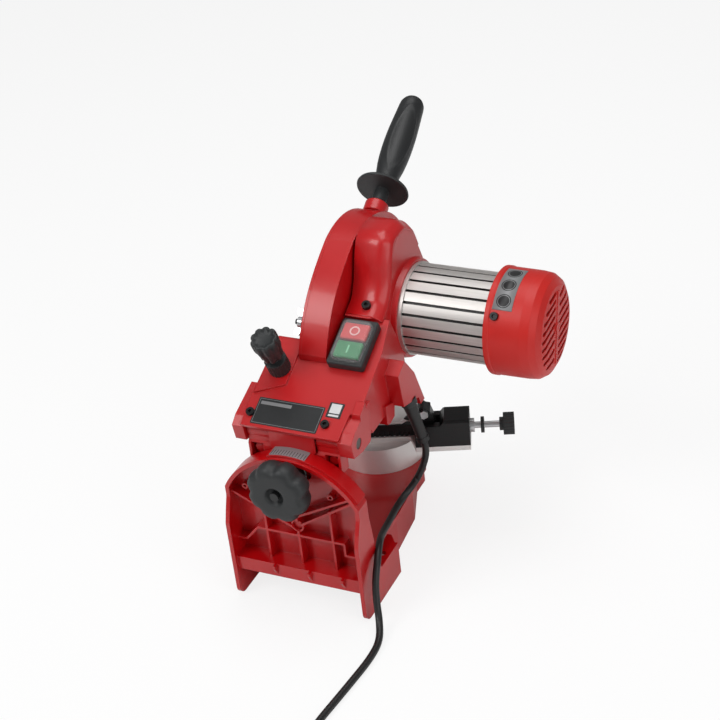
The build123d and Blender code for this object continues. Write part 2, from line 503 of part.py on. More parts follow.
def build_motor():
    """The fixed half of the motor: stator, windings, finned housing, rear plate and end cap."""
    x0, x1 = MOTOR_X
    axis = Pos(0, AXIS_Y, AXIS_Z)
    core = tube((61, AXIS_Y, AXIS_Z), (1, 0, 0), MOTOR_BORE_R, 21.4, 32)
    for i in range(12):
        core -= axis * Rot(i * 30, 0, 0) * Pos(77, 0, 25.5) * Box(40, 4.2, 8)
    save("stator_core", core)
    rings = [tube((x, AXIS_Y, AXIS_Z), (1, 0, 0), 31, 22.5, 9) for x in (52, 93)]
    save("stator_windings", Compound(children=[fillet(r.edges(), 2.5) for r in rings]))

    fins = Circle(MOTOR_R) - Circle(MOTOR_BORE_R)
    count = 24
    for i in range(count):
        fins -= Rot(0, 0, (i + 0.5) * 360 / count) * Pos(MOTOR_R, 0) * Rectangle(5.0, 2.4)
    save("motor_housing", along_x(Pos(AXIS_Y, AXIS_Z) * fins, x0 + COLLAR_T, x1))
    save("motor_flange", tube((x0, AXIS_Y, AXIS_Z), (1, 0, 0), MOTOR_R + 1.2, MOTOR_BORE_R, COLLAR_T))

    plate = tube((x1, AXIS_Y, AXIS_Z), (1, 0, 0), CAP_R - CAP_T - 0.8, BEARING_R - 1, 3)
    plate += tube((x1, AXIS_Y, AXIS_Z), (1, 0, 0), BEARING_R + 2, BEARING_R - 1, 10)
    plate -= rod((x1 - 1, AXIS_Y, AXIS_Z), (1, 0, 0), 7.5, 2)
    for i in range(6):
        plate -= axis * Rot(i * 60 + 30, 0, 0) * Pos(x1, 0, 26) * Rot(0, 90, 0) * Cylinder(6, 10)
    save("rear_bearing_plate", plate)

    profile = [(0, CAP_END_X), (30, CAP_END_X), (37, CAP_END_X - 1.2), (43, CAP_END_X - 4.5),
               (46.5, CAP_END_X - 10), (CAP_R - 0.9, CAP_END_X - 18), (CAP_R - 0.6, x1 + 5),
               (CAP_R, x1 + 4), (CAP_R, x1),
               (CAP_R - CAP_T - 0.8, x1), (CAP_R - CAP_T - 0.8, CAP_END_X - 18), (44, CAP_END_X - 11),
               (41, CAP_END_X - 6.5), (36, CAP_END_X - 3.8), (30, CAP_END_X - 2.8), (0, CAP_END_X - 2.8)]
    cap = turned(Plane((0, AXIS_Y, AXIS_Z), z_dir=(1, 0, 0)), profile)
    slots = None
    for row in range(9):
        z = (row - 4) * SLOT_PITCH
        half = sqrt(VENT_R ** 2 - z ** 2)
        for side in (1, -1):
            length = half - 4
            slot = Pos(side * (4 + length / 2), z) * Rot(0, 0, VENT_LEAN + 5) * SlotOverall(length, 3.4)
            slots = slot if slots is None else slots + slot
    slots = Rot(0, 0, -VENT_LEAN) * slots
    cap -= along_x(Pos(AXIS_Y, AXIS_Z) * slots, CAP_END_X - 8, CAP_END_X + 1)
    cap += Pos(CAP_END_X - 0.4, AXIS_Y, AXIS_Z) * Rot(-VENT_LEAN, 0, 0) * Box(2, 3.2, 66)
    cap += rod((CAP_END_X - 2, AXIS_Y, AXIS_Z), (1, 0, 0), 4.5, 3.2)
    for i in range(3):
        spot = axis * Rot(i * 120 + CAP_SCREW_DEG, 0, 0)
        cap -= spot * Pos(x1 + 9, 0, CAP_R) * Cylinder(1.8, 12)
        cap -= spot * Pos(x1 + 9, 0, CAP_R + 0.6) * Cylinder(3.7, 3)
    save("end_cap", cap)
    heads = []
    for i in range(3):
        head = Cylinder(3.6, 2.4) - Pos(0, 0, 1.2) * extrude(RegularPolygon(1.7, 6), 1.2, both=True)
        head += Pos(0, 0, -3.2) * Cylinder(1.7, 4.4)
        heads.append(axis * Rot(i * 120 + CAP_SCREW_DEG, 0, 0) * Pos(x1 + 9, 0, CAP_R + 0.3) * head)
    save("cap_screws", Compound(children=heads))


def build_handle():
    """The lowering handle: steel stud, hand guard disc and moulded grip."""
    axis = Vector(*HANDLE_DIR).normalized()
    base_plane = Plane(HANDLE_FOOT, z_dir=axis)
    save("handle_stud", rod(Vector(*HANDLE_FOOT) - axis * 6, axis, 4.0, 60))
    neck = turned(base_plane, [(4, BOSS_L), (6.8, BOSS_L), (6.8, 18), (24, 18.5), (24.5, 19.8), (24, 21),
                               (8, 21.5), (4, 21.5)])
    save("hand_guard", neck)
    outline = Polyline((0, 54), (4, 54), (4, 21.5), (9.2, 21.5))
    outline += Spline((9.2, 21.5), (10.2, 30), (12.6, 45), (14.0, 72), (13.2, 95), (11.4, 118))
    outline += Polyline((11.4, 118), (9, 124.5), (0, 124.5), (0, 54))
    plane = Plane(HANDLE_FOOT, x_dir=base_plane.x_dir, z_dir=-base_plane.y_dir)
    grip = revolve(plane * make_face(outline), Axis(HANDLE_FOOT, axis), 360)
    save("handle_grip", grip)


def build_stop():
    """The depth stop: threaded screw with its knob, and the sleeve that locks it."""
    foot = panel_point(STOP_X, STOP_S)
    screw = rod(foot - PANEL_NORMAL * STOP_TIP, PANEL_NORMAL, STOP_R, STOP_TIP + 24)
    save("depth_screw", screw)
    sleeve = Pos(0, 0) * lobed(10, 20, 1.2, 0.5) - Circle(STOP_R + 0.1)
    plane = Plane(foot, x_dir=(1, 0, 0), z_dir=PANEL_NORMAL)
    save("depth_lock_sleeve", extrude(plane * Pos(0, 0, 2) * sleeve, 15))
    knob = extrude(plane * Pos(0, 0, 19) * lobed(12.2, 10, 3.0, 1.6), 30)
    knob = chamfer(knob.faces().sort_by(Axis.Z)[-1].edges(), 1)
    knob -= rod(foot, PANEL_NORMAL, STOP_R + FIT, 24 + GAP)
    save("depth_knob", knob)


def build_switch():
    """The no-volt switch: frame, stop and start buttons with their springs, on the panel."""
    plane = PANEL * Pos(SWITCH_X, SWITCH_S)
    frame = extrude(plane * fillet(Rectangle(34, 47).vertices(), 2.5), 9)
    frame = chamfer(frame.faces().sort_by(Axis.Z)[-1].edges(), 1)
    frame += extrude(plane * Rectangle(29.6, 42.6), -18)
    for y in (9.2, -9.2):
        frame -= extrude(plane * Pos(0, y, 20) * Rectangle(24.4, 16.6), -34)
    save("switch_frame", frame)
    springs = []
    for name, y in (("stop_button", 9.2), ("start_button", -9.2)):
        button = extrude(plane * Pos(0, y, -3) * fillet(Rectangle(23.8, 16).vertices(), 1.6), 15)
        button = chamfer(button.faces().sort_by(Axis.Z)[-1].edges(), 0.8)
        button -= extrude(plane * Pos(0, y, -4) * Circle(4), 7)
        save(name, button)
        springs.append(extrude(plane * Pos(0, y, -14) * (Circle(3) - Circle(2)), 16.8))
    save("button_springs", Compound(children=springs))


def build_vice():
    """The turntable with the chain vice on it, all stored at the vice's own angle."""
    spin = Pos(0, TABLE_Y) * Rot(0, 0, VICE_ANGLE)
    low = DECK_Z + 0.1
    profile = [(0, RING_Z), (RING_TOP_R, RING_Z), (RING_R, low), (RING_R - 3.5, low),
               (RING_TOP_R - 3.5, RING_Z - 4), (14, RING_Z - 4), (14, low), (0, low)]
    ring = turned(Plane((0, TABLE_Y, 0)), profile)
    ring -= rod((0, TABLE_Y, 0), (0, 0, 1), 5.0, RING_Z - 8)
    save("turntable_ring", ring)
    bolt = rod((0, TABLE_Y, 8), (0, 0, 1), 4.95, RING_Z - 16)
    save("turntable_bolt", bolt)
    knob = extrude(Pos(0, TABLE_Y, 9) * lobed(18, 6, 7, 2.6), 16)
    knob += rod((0, TABLE_Y, 25), (0, 0, 1), 10, DECK_Z - 12.2 - 25)
    save("swivel_lock_knob", knob - rod((0, TABLE_Y, 0), (0, 0, 1), 5.0, 60))

    plan = poly((-36, -28), (31, -28), (36.5, BLOCK_V), (87, BLOCK_V), (87, -14), (52, -8), (40, 24),
                (-36, 24))
    plate = along_z(plan, RING_Z, PLATE_Z)
    save("vice_plate", spin * plate)

    block = along_y(poly((36.5, PLATE_Z), (87, PLATE_Z), (87, BLOCK_Z), (64, BLOCK_Z), (60, BLOCK_Z - 5),
                         (36.5, BLOCK_Z - 5)), BLOCK_V, -20)
    block = chamfer(block.edges().filter_by(Axis.X).group_by(Axis.Z)[-1], 2)
    block -= rod((20, ROD_V, ROD_Z), (1, 0, 0), 3.1, 100)
    block -= Pos(46, ROD_V, ROD_Z + 10) * Box(28, 12.4, 26)
    save("vice_body", spin * block)

    near = along_y(poly((-34, PLATE_Z), (36.5, PLATE_Z), (36.5, 90), (-34, 90)), -26, -21)
    for i in range(14):
        near -= Pos(-30 + i * 4.6, -26, PLATE_Z + 2) * Box(1.8, 2.4, 6)
    save("vice_near_jaw", spin * near)
    far = along_y(poly((-34, PLATE_Z), (34, PLATE_Z), (34, 90), (-34, 90)), -19.4, -14.4)
    save("vice_far_jaw", spin * far)
    rail = Polyline((-34, 91.2), (23, 91.2), (35, 98.4))
    rail_face = trace(rail, 2.4)
    save("chain_rails", spin * along_y(rail_face, -24.5, -21.5))

    ear = poly((38, 88), (56, 88), (56, 100), (52, 112), (45, 118), (40, 114))
    ear = fillet(ear.vertices().sort_by(Axis.Y)[-2:], 3)
    pawl = along_y(ear, ROD_V - 6, ROD_V + 6) - rod((46, -60, 110), (0, 1, 0), 2.5, 60)
    save("stop_carrier", spin * pawl)
    tooth = poly((26, 97), (31, 95), (32, 100.8), (52, 104), (52, 113), (44, 115))
    tooth_plate = along_y(tooth, ROD_V + 6.1, ROD_V + 8.1) - rod((46, -60, 110), (0, 1, 0), 2.55, 60)
    save("chain_stop", spin * tooth_plate)
    bolt = rod((46, ROD_V - 6, 110), (0, 1, 0), 2.45, 15)
    bolt += extrude(Plane((46, ROD_V - 6, 110), z_dir=(0, -1, 0)) * RegularPolygon(4.5, 6), 3.2)
    save("chain_stop_bolt", spin * bolt)

    save("adjust_screw", spin * rod((56, ROD_V, ROD_Z), (1, 0, 0), 3.0, 66))
    save("adjust_lock_nut", spin * tube((87, ROD_V, ROD_Z), (1, 0, 0), 6.5, 3.1, 4))
    save("adjust_disc", spin * tube((97, ROD_V, ROD_Z), (1, 0, 0), 7.5, 3.0, 3))
    knob = tube((114, ROD_V, ROD_Z), (1, 0, 0), 6.2, 3.0, 3.5)
    plane = Plane((117.5, ROD_V, ROD_Z), z_dir=(1, 0, 0))
    knob += extrude(plane * lobed(10.4, 18, 1.4, 0.6), 10)
    save("adjust_knob", spin * (knob - rod((100, ROD_V, ROD_Z), (1, 0, 0), 3.0 + FIT, 22 + GAP)))


def build_cord():
    """The supply cord: gland, tapered strain relief, the free lead, its coil and the plug."""
    axis = Vector(*GLAND_DIR).normalized()
    start = Vector(*GLAND)
    gland = tube(start - axis, axis, 7.4, 4.4, 6)
    gland += tube(start - axis * 7, axis, 5.0, 4.4, 7)
    save("cord_gland", gland)
    profile = [(0, 5), (6.4, 5), (5.4, 20), (5.0, 41.5), (5.9, 42), (5.9, 46), (0, 46)]
    sleeve = turned(Plane(start, z_dir=axis), profile)
    save("strain_relief", sleeve)
    end = start + axis * 46
    route = [end, end + axis * 16.5, *[Vector(*p) for p in CORD_ROUTE]]
    radii = []
    for before, here, after in zip(route, route[1:], route[2:]):
        turn = radians((here - before).get_angle(after - here))
        radii.append(0.45 * min((here - before).length, (after - here).length) / tan(turn / 2))
        print("turn", round(degrees(turn), 1), "radius", round(radii[-1], 1))
    path = FilletPolyline(*route, radius=radii)
    lead = sweep(Plane(path @ 0, z_dir=path % 0) * Circle(CORD_R), path=path)
    ratio = lead.volume / (path.length * pi * CORD_R ** 2)
    print("lead", round(path.length, 1), "volume ratio", round(ratio, 4))
    save("power_cord", lead)
    coil = tube((COIL[0], COIL[1], 0), (0, 0, 1), COIL_R, COIL_HOLE_R, COIL_H)
    coil = fillet(coil.edges(), 5)
    save("cord_coil", coil)
    plug = along_z(Pos(PLUG[0], PLUG[1]) * Rectangle(34, 36), 0, 20)
    plug = fillet(plug.edges().filter_by(Axis.Y), 6)
    plug = chamfer(plug.faces().sort_by(Axis.Y)[0].edges(), 1)
    plug += rod((PLUG[0], PLUG[1] + 17, COIL_H / 2), (0, 1, 0), 5.5, 23)
    plug += rod((PLUG[0], PLUG[1] + 39, COIL_H / 2), (0, 1, 0), CORD_R, 30)
    for x in (-9.5, 9.5):
        plug += rod((PLUG[0] + x, PLUG[1] - 17, COIL_H / 2), (0, -1, 0), 2.4, 19)
    save("mains_plug", plug)


os.makedirs("parts", exist_ok=True)
save("base_frame", build_base())
save("tilt_arm", build_arm())
build_tilt_parts()
build_hinge()
save("head_housing", build_head())
build_guard()
build_spindle()
build_motor()
build_handle()
build_stop()
build_switch()
build_vice()
build_cord()
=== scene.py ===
import bpy
import math
from mathutils import Matrix, Vector


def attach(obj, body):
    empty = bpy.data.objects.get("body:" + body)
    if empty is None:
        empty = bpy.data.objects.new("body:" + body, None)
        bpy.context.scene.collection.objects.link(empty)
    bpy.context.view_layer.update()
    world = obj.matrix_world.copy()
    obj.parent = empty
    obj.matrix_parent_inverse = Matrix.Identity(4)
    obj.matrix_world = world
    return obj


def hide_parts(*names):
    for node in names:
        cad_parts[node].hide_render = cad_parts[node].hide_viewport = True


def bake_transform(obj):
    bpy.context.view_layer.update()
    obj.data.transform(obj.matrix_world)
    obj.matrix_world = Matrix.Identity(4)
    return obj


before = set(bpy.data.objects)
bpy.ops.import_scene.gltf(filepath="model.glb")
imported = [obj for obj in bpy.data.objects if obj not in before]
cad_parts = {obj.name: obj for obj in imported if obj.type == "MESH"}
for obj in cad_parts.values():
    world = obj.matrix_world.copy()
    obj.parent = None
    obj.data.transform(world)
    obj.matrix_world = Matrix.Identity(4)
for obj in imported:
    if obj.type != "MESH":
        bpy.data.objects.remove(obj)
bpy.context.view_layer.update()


# --- Camera -------------------------------------------------------------------------------------
# A long lens, 1.7 metres away. It looks down on the machine from high behind the star knob, on the
# motor's side.

FEET_TO_FRONT = 212.2


def at(x, y, z):
    """A point by its distance from the centre plane, the rear feet and the bench, in millimetres."""
    return Vector((x, y - FEET_TO_FRONT, z)) / 1000


camera = bpy.data.objects.new("camera", bpy.data.cameras.new("camera"))
bpy.context.scene.collection.objects.link(camera)
camera.data.lens = 86.89
camera.data.sensor_width = 36
camera.data.clip_start = 0.05
right = Vector((0.90485, 0.41338, -0.10164))
up = Vector((-0.13994, 0.51433, 0.84610))
back = right.cross(up).normalized()
up = back.cross(right).normalized()
camera.matrix_world = Matrix((right, up, back)).transposed().to_4x4()
camera.location = (0.63407, -1.23325, 0.98553)
bpy.context.scene.camera = camera


# --- Supply cord --------------------------------------------------------------------------------
# Round rubber lead, 6.4 mm thick, with a soft dull sheen. It hangs from the tapered sleeve under
# the cable box to the deck, runs down beside the arch to the bench, and its spare length is coiled
# and tied beside the plug.

class Wire:
    """A value inside a finish. A sum written with it adds the Math node that does it."""

    def __init__(self, finish, socket):
        self.finish = finish
        self.socket = socket

    def maths(self, operation, first, second):
        return self.finish.maths(operation, first, second)

    def __add__(self, other):
        return self.maths("ADD", self, other)

    def __sub__(self, other):
        return self.maths("SUBTRACT", self, other)

    def __rsub__(self, other):
        return self.maths("SUBTRACT", other, self)

    def __mul__(self, other):
        return self.maths("MULTIPLY", self, other)

    def __gt__(self, other):
        return self.maths("GREATER_THAN", self, other)

    def __lt__(self, other):
        return self.maths("LESS_THAN", self, other)


class Finish:
    """A material. What is the same all over is set on its shader; the rest comes from nodes."""

    def __init__(self, name, **fixed):
        self.material = bpy.data.materials.new(name)
        self.material.use_nodes = True
        self.tree = self.material.node_tree
        self.shader = self.tree.nodes["Principled BSDF"]
        for socket, value in fixed.items():
            self.shader.inputs[socket.replace("_", " ")].default_value = value

    def maths(self, operation, first, second):
        return self.node("Math", {"operation": operation}, {0: first, 1: second})

    def node(self, kind, settings=None, values=None, outlet=0):
        """Adds a node: its settings first, then the values or links of its sockets."""
        made = self.tree.nodes.new("ShaderNode" + kind)
        for name, value in (settings or {}).items():
            setattr(made, name, value)
        for name, value in (values or {}).items():
            self.join(made.inputs[name], value)
        return Wire(self, made.outputs[outlet])

    def join(self, socket, value):
        if isinstance(value, Wire):
            self.tree.links.new(value.socket, socket)
        else:
            socket.default_value = value

    def noise(self, size, stretch=(1, 1, 1), detail=2):
        """Cloudy grain of that size in millimetres, drawn out along the axes by stretch."""
        place = self.node("TexCoord", outlet="Object")
        scale = [1000 / size / s for s in stretch]
        place = self.node("Mapping", {"vector_type": "POINT"}, {"Vector": place, "Scale": scale})
        return self.node("TexNoise", None, {"Vector": place, "Scale": 1.0, "Detail": detail})

    def spot(self, axes=(0, 1, 2)):
        """A point's distances from the part's origin along axes, in metres."""
        place = self.node("TexCoord", outlet="Object")
        return [self.node("SeparateXYZ", None, {0: place}, outlet=axis) for axis in axes]

    def blend(self, share, first, second):
        """A colour between two colours."""
        return self.node("Mix", {"data_type": "RGBA"}, {0: share, 6: first, 7: second}, outlet=2)

    def shade(self, socket, value):
        self.join(self.shader.inputs[socket], value)

    def tint(self, share, first, second):
        """Colours the surface between two colours."""
        self.shade("Base Color", self.blend(share, first, second))

    def relief(self, height, depth, rounding=0.0):
        """Raises the surface by height times depth millimetres, over edges rounded in millimetres."""
        values = {"Height": height, "Distance": depth / 1000, "Strength": 1.0}
        if rounding:
            values["Normal"] = self.node("Bevel", {"samples": 6}, {"Radius": rounding / 1000})
        self.shade("Normal", self.node("Bump", None, values))


def dress(finish, *nodes):
    """Gives solid pieces of the frame their finish."""
    for name in nodes:
        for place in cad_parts[name].material_slots:
            place.material = finish.material


def piece(name, mesh, finish, body):
    """Puts a mesh in the scene with its finish, on the body that it rides on."""
    made = bpy.data.objects.new(name, mesh)
    bpy.context.scene.collection.objects.link(made)
    mesh.materials.clear()
    mesh.materials.append(finish.material)
    if body:
        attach(made, body)
    return made


cord_rubber = Finish("cord_rubber", Roughness=0.42, IOR=1.5)
grain = cord_rubber.noise(0.8)
cord_rubber.tint(grain, (0.004, 0.004, 0.0045, 1), (0.009, 0.009, 0.0095, 1))
cord_rubber.shade("Roughness", grain * 0.16 + 0.36)
cord_rubber.relief(grain, 0.04)

CORD_R = 3.2
SLEEVE_END = (71.02, 132.51, 107.17)
ROUTE = [SLEEVE_END, (73.2, 133.72, 96.3), (67.8, 132.6, 76), (60.2, 126.4, 60.5), (53.9, 113.7, 52.8),
         (53.3, 96.6, 51), (55.6, 76.5, 51.5), (58.4, 56.2, 54.4), (64.6, 38.5, 59.6), (69.4, 22.5, 54.2),
         (70.8, 11.5, 40), (73.4, 4, 23.5), (79, -5, 10), (86, -22, 3.2), (87, -46, 3.2), (84, -74, 3.2),
         (81, -100, 3.2), (78, -124, 3.2), (77, -142, 3.2), (85, -157, 3.2)]
TAIL = [(104, -175, 9.8), (111, -184, 10), (114.15, -196, 10), (114.15, -210, 10), (114.15, -234, 10)]

COIL_X, COIL_Y = 66.0, -198.4
COIL_START = math.radians(45)
TURN_POINTS = 14
CROSSES_FROM = 9
LINE_INSIDE = 0.975
# Radius and height of each turn, laid two deep with one in the hollow on top. From one point of a
# turn on, the lead moves over to the next turn. The smooth line runs a little inside its points.
TURNS = ((41.8, 3.2), (35.3, 3.2), (28.8, 3.2), (28.8, 9.6), (35.3, 9.6), (32.0, 15.3), (41.8, 9.6))
coil = []
for turn, (radius, height) in enumerate(TURNS):
    after_radius, after_height = TURNS[min(turn + 1, len(TURNS) - 1)]
    for step in range(TURN_POINTS):
        share = max(0.0, (step - CROSSES_FROM) / (TURN_POINTS - CROSSES_FROM))
        reach = (radius + (after_radius - radius) * share) / LINE_INSIDE
        angle = COIL_START - 2 * math.pi * step / TURN_POINTS
        height_here = height + (after_height - height) * share
        coil.append((COIL_X + reach * math.cos(angle), COIL_Y + reach * math.sin(angle), height_here))

line = bpy.data.curves.new("cord_line", "CURVE")
line.dimensions = "3D"
line.resolution_u = 6
spline = line.splines.new("NURBS")
route = [at(*p) for p in ROUTE + coil + TAIL]
spline.points.add(len(route) - 1)
for point, place in zip(spline.points, route):
    point.co = (*place, 1)
spline.order_u = 3
spline.use_endpoint_u = True
cord_line = bpy.data.objects.new("cord_line", line)
drawn = bpy.data.meshes.new_from_object(cord_line)
middle = [v.co.copy() for v in drawn.vertices]
bpy.data.objects.remove(cord_line)


def tube(points, radius, sides=16):
    """A closed tube along points, its rings turned as little as they can be."""
    mesh = bpy.data.meshes.new("tube")
    side = (points[1] - points[0]).orthogonal().normalized()
    rings = []
    for i, point in enumerate(points):
        along = (points[min(i + 1, len(points) - 1)] - points[max(i - 1, 0)]).normalized()
        side = (side - along * side.dot(along)).normalized()
        other = along.cross(side)
        for k in range(sides):
            angle = 2 * math.pi * k / sides
            rings.append(point + (side * math.cos(angle) + other * math.sin(angle)) * radius)
    faces = [tuple(range(sides))[::-1]]
    for i in range(len(points) - 1):
        for k in range(sides):
            low, high = i * sides, (i + 1) * sides
            after = (k + 1) % sides
            faces.append((low + k, low + after, high + after, high + k))
    faces.append(tuple(range(len(rings) - sides, len(rings))))
    mesh.from_pydata(rings, [], faces)
    for face in mesh.polygons:
        face.use_smooth = len(face.vertices) == 4
    return mesh


# The lead is made in two lengths that meet at this height in metres, because each crosses one joint.
SPLIT_HEIGHT = 0.068
split = next(i for i, p in enumerate(middle) if p.z < SPLIT_HEIGHT)
upper_line, lower_line = middle[:split + 1], middle[split:]
cord_upper = piece("cord_upper", tube(upper_line, CORD_R / 1000), cord_rubber, None)
at(72, 133.5, 100)
at(71.5, 134, 70)
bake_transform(cord_upper)
cord_lower = piece("cord_lower", tube(lower_line, CORD_R / 1000), cord_rubber, None)
at(70, 132, 66)
at(60, 108, 51)
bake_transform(cord_lower)
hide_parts("power_cord", "cord_coil")


def band(path, width_way, half_width, thickness, inward):
    """A closed strap round a closed path, flat across width_way, with its sizes in metres."""
    mesh = bpy.data.meshes.new("band")
    rings = []
    for point, way_in in zip(path, inward):
        for across, deep in ((-1, 0), (1, 0), (1, 1), (-1, 1)):
            rings.append(point + width_way * across * half_width + way_in * deep * thickness)
    faces = []
    for i in range(len(path)):
        for k in range(4):
            low, high, after = 4 * i, 4 * ((i + 1) % len(path)), (k + 1) % 4
            faces.append((low + k, low + after, high + after, high + k))
    mesh.from_pydata(rings, [], faces)
    return mesh


TIE_TURN = math.radians(200)
TIE_REACH, TIE_HEIGHT = 34.9, 10.0
TIE_HALF_REACH, TIE_HALF_HEIGHT = 9.7, 9.4
TIE_SQUARENESS = 6
TIE_POINTS = 32
TIE_HALF_WIDTH, TIE_THICKNESS = 0.0025, 0.0009
tie_out = Vector((math.cos(TIE_TURN), math.sin(TIE_TURN), 0))
tie_way = Vector((-math.sin(TIE_TURN), math.cos(TIE_TURN), 0))
tie_path, tie_in = [], []
for step in range(TIE_POINTS):
    turn = 2 * math.pi * step / TIE_POINTS
    spread = abs(math.cos(turn)) ** TIE_SQUARENESS + abs(math.sin(turn)) ** TIE_SQUARENESS
    square = spread ** (-1 / TIE_SQUARENESS)
    reach = TIE_REACH + square * math.cos(turn) * TIE_HALF_REACH
    height = TIE_HEIGHT + square * math.sin(turn) * TIE_HALF_HEIGHT
    tie_path.append(at(COIL_X, COIL_Y, 0) + (tie_out * reach + Vector((0, 0, height))) / 1000)
    tie_in.append(-(tie_out * math.cos(turn) + Vector((0, 0, math.sin(turn)))).normalized())
tie = band(tie_path, tie_way, TIE_HALF_WIDTH, TIE_THICKNESS, tie_in)
piece("coil_tie", tie, cord_rubber, "base")


at(*SLEEVE_END)

soft_black = Finish("soft_black", IOR=1.5)
grain = soft_black.noise(0.7)
soft_black.tint(grain, (0.005, 0.005, 0.0055, 1), (0.011, 0.011, 0.0115, 1))
soft_black.shade("Roughness", grain * 0.14 + 0.42)
soft_black.relief(grain, 0.05, 0.6)
dress(soft_black, "strain_relief", "mains_plug")


# --- Base ---------------------------------------------------------------------------------------
# One hollow body with a ribbed arch and two feet, in glossy red with a faint orange peel. A grey
# scale strip lies on top of the arch, printed with a row of dark ticks.

RED = (0.50, 0.0022, 0.0045, 1)
DEEP_RED = (0.42, 0.0016, 0.0032, 1)
red_base = Finish("red_base", IOR=1.45, Coat_Roughness=0.05)
cloud = red_base.noise(45, detail=3)
peel = red_base.noise(2.4)
red_base.tint(cloud, DEEP_RED, RED)
red_base.shade("Roughness", cloud * 0.12 + 0.24)
red_base.shade("Coat Weight", cloud * 0.2 + 0.25)
red_base.relief(peel, 0.02, 0.7)
dress(red_base, "base_frame")

scale_grey = Finish("scale_grey", Metallic=0.3, Roughness=0.45)
grain = scale_grey.noise(0.5)
scale_grey.tint(grain, (0.24, 0.24, 0.25, 1), (0.32, 0.32, 0.33, 1))
scale_grey.relief(grain, 0.01)
dress(scale_grey, "tilt_scale")


def prism(outline, low, high, place):
    """A closed plate: an anticlockwise outline between two heights, each point put down by place."""
    count = len(outline)
    mesh = bpy.data.meshes.new("prism")
    points = [place(a, b, height) for height in (low, high) for a, b in outline]
    sides = [(k, (k + 1) % count, count + (k + 1) % count, count + k) for k in range(count)]
    mesh.from_pydata(points, [], [tuple(range(count))[::-1], tuple(range(count, 2 * count)), *sides])
    return mesh


def repeated(unit, finish, start, step, turn, count):
    """Copies of a mesh, each moved and turned further than the one before it, as one mesh."""
    group = bpy.data.node_groups.new("repeated", "GeometryNodeTree")
    face = group.interface
    face.new_socket("Geometry", in_out="INPUT", socket_type="NodeSocketGeometry")
    inputs = {"Count": ("NodeSocketInt", count), "Start": ("NodeSocketVector", start),
              "Step": ("NodeSocketVector", step), "Turn": ("NodeSocketVector", turn)}
    sockets = {}
    for name, (kind, _) in inputs.items():
        sockets[name] = face.new_socket(name, in_out="INPUT", socket_type=kind)
    face.new_socket("Geometry", in_out="OUTPUT", socket_type="NodeSocketGeometry")
    kinds = ("NodeGroupInput", "GeometryNodeMeshLine", "GeometryNodeInputIndex", "ShaderNodeVectorMath",
             "GeometryNodeInstanceOnPoints", "GeometryNodeRealizeInstances", "GeometryNodeSetMaterial",
             "NodeGroupOutput")
    given, row, index, scale, place, real, paint, result = [group.nodes.new(kind) for kind in kinds]
    row.mode = "OFFSET"
    scale.operation = "SCALE"
    paint.inputs["Material"].default_value = finish.material
    joins = ((given.outputs["Count"], row.inputs["Count"]),
             (given.outputs["Start"], row.inputs["Start Location"]),
             (given.outputs["Step"], row.inputs["Offset"]),
             (given.outputs["Turn"], scale.inputs[0]),
             (index.outputs[0], scale.inputs["Scale"]),
             (row.outputs[0], place.inputs["Points"]),
             (given.outputs["Geometry"], place.inputs["Instance"]),
             (scale.outputs[0], place.inputs["Rotation"]),
             (place.outputs[0], real.inputs[0]),
             (real.outputs[0], paint.inputs[0]),
             (paint.outputs[0], result.inputs[0]))
    for source, target in joins:
        group.links.new(source, target)
    carrier = bpy.data.objects.new("repeated", unit)
    bpy.context.scene.collection.objects.link(carrier)
    modifier = carrier.modifiers.new("repeated", "NODES")
    modifier.node_group = group
    for name, (_, value) in inputs.items():
        modifier[sockets[name].identifier] = value
    mesh = bpy.data.meshes.new_from_object(carrier.evaluated_get(bpy.context.evaluated_depsgraph_get()))
    bpy.data.objects.remove(carrier)
    return mesh


PIVOT = at(0, 18, 82)
SCALE_R = 75.0
INK_THICKNESS = 0.25
TICK_HALF_WIDTH = 0.25
TICK_REAR, TICK_AHEAD = -5, 1.5
TICKS = 13
TICK_STEP = math.radians(2)
tick_ink = Finish("tick_ink", Roughness=0.5)
worn = tick_ink.noise(1.5)
tick_ink.tint(worn, (0.015, 0.015, 0.016, 1), (0.05, 0.05, 0.052, 1))


def tick_place(x, y, height):
    """A point above the arch's pivot, before the tick is turned round it."""
    return Vector((x, y, height)) / 1000


first_turn = -TICK_STEP * (TICKS - 1) / 2
tick_outline = [(-TICK_HALF_WIDTH, TICK_REAR), (TICK_HALF_WIDTH, TICK_REAR),
                (TICK_HALF_WIDTH, TICK_AHEAD), (-TICK_HALF_WIDTH, TICK_AHEAD)]
tick = prism(tick_outline, SCALE_R, SCALE_R + INK_THICKNESS, tick_place)
tick.transform(Matrix.Rotation(first_turn, 4, "Y"))
ticks = repeated(tick, tick_ink, PIVOT, (0, 0, 0), (0, TICK_STEP, 0), TICKS)
piece("tilt_ticks", ticks, tick_ink, "base")


# --- Arm ----------------------------------------------------------------------------------------
# Red painted casting that tilts on the arch round its pivot bolt. It carries the dark hinge pin and
# the bright spring that lifts the head, with a thin red cover over the spring.

red_casting = Finish("red_casting", IOR=1.5, Coat_Roughness=0.1)
cloud = red_casting.noise(38, detail=3)
peel = red_casting.noise(1.6)
red_casting.tint(cloud, DEEP_RED, RED)
red_casting.shade("Roughness", cloud * 0.14 + 0.30)
red_casting.shade("Coat Weight", cloud * 0.2 + 0.15)
red_casting.relief(peel, 0.03, 0.9)
dress(red_casting, "tilt_arm", "tilt_pivot_bolt")

steel = Finish("steel", Metallic=1.0, IOR=2.5)
brushed = steel.noise(0.6, (1, 1, 6))
steel.tint(brushed, (0.42, 0.42, 0.43, 1), (0.56, 0.56, 0.57, 1))
steel.shade("Roughness", brushed * 0.2 + 0.24)
steel.relief(brushed, 0.01, 0.3)
dress(steel, "clamp_washer", "head_spring")

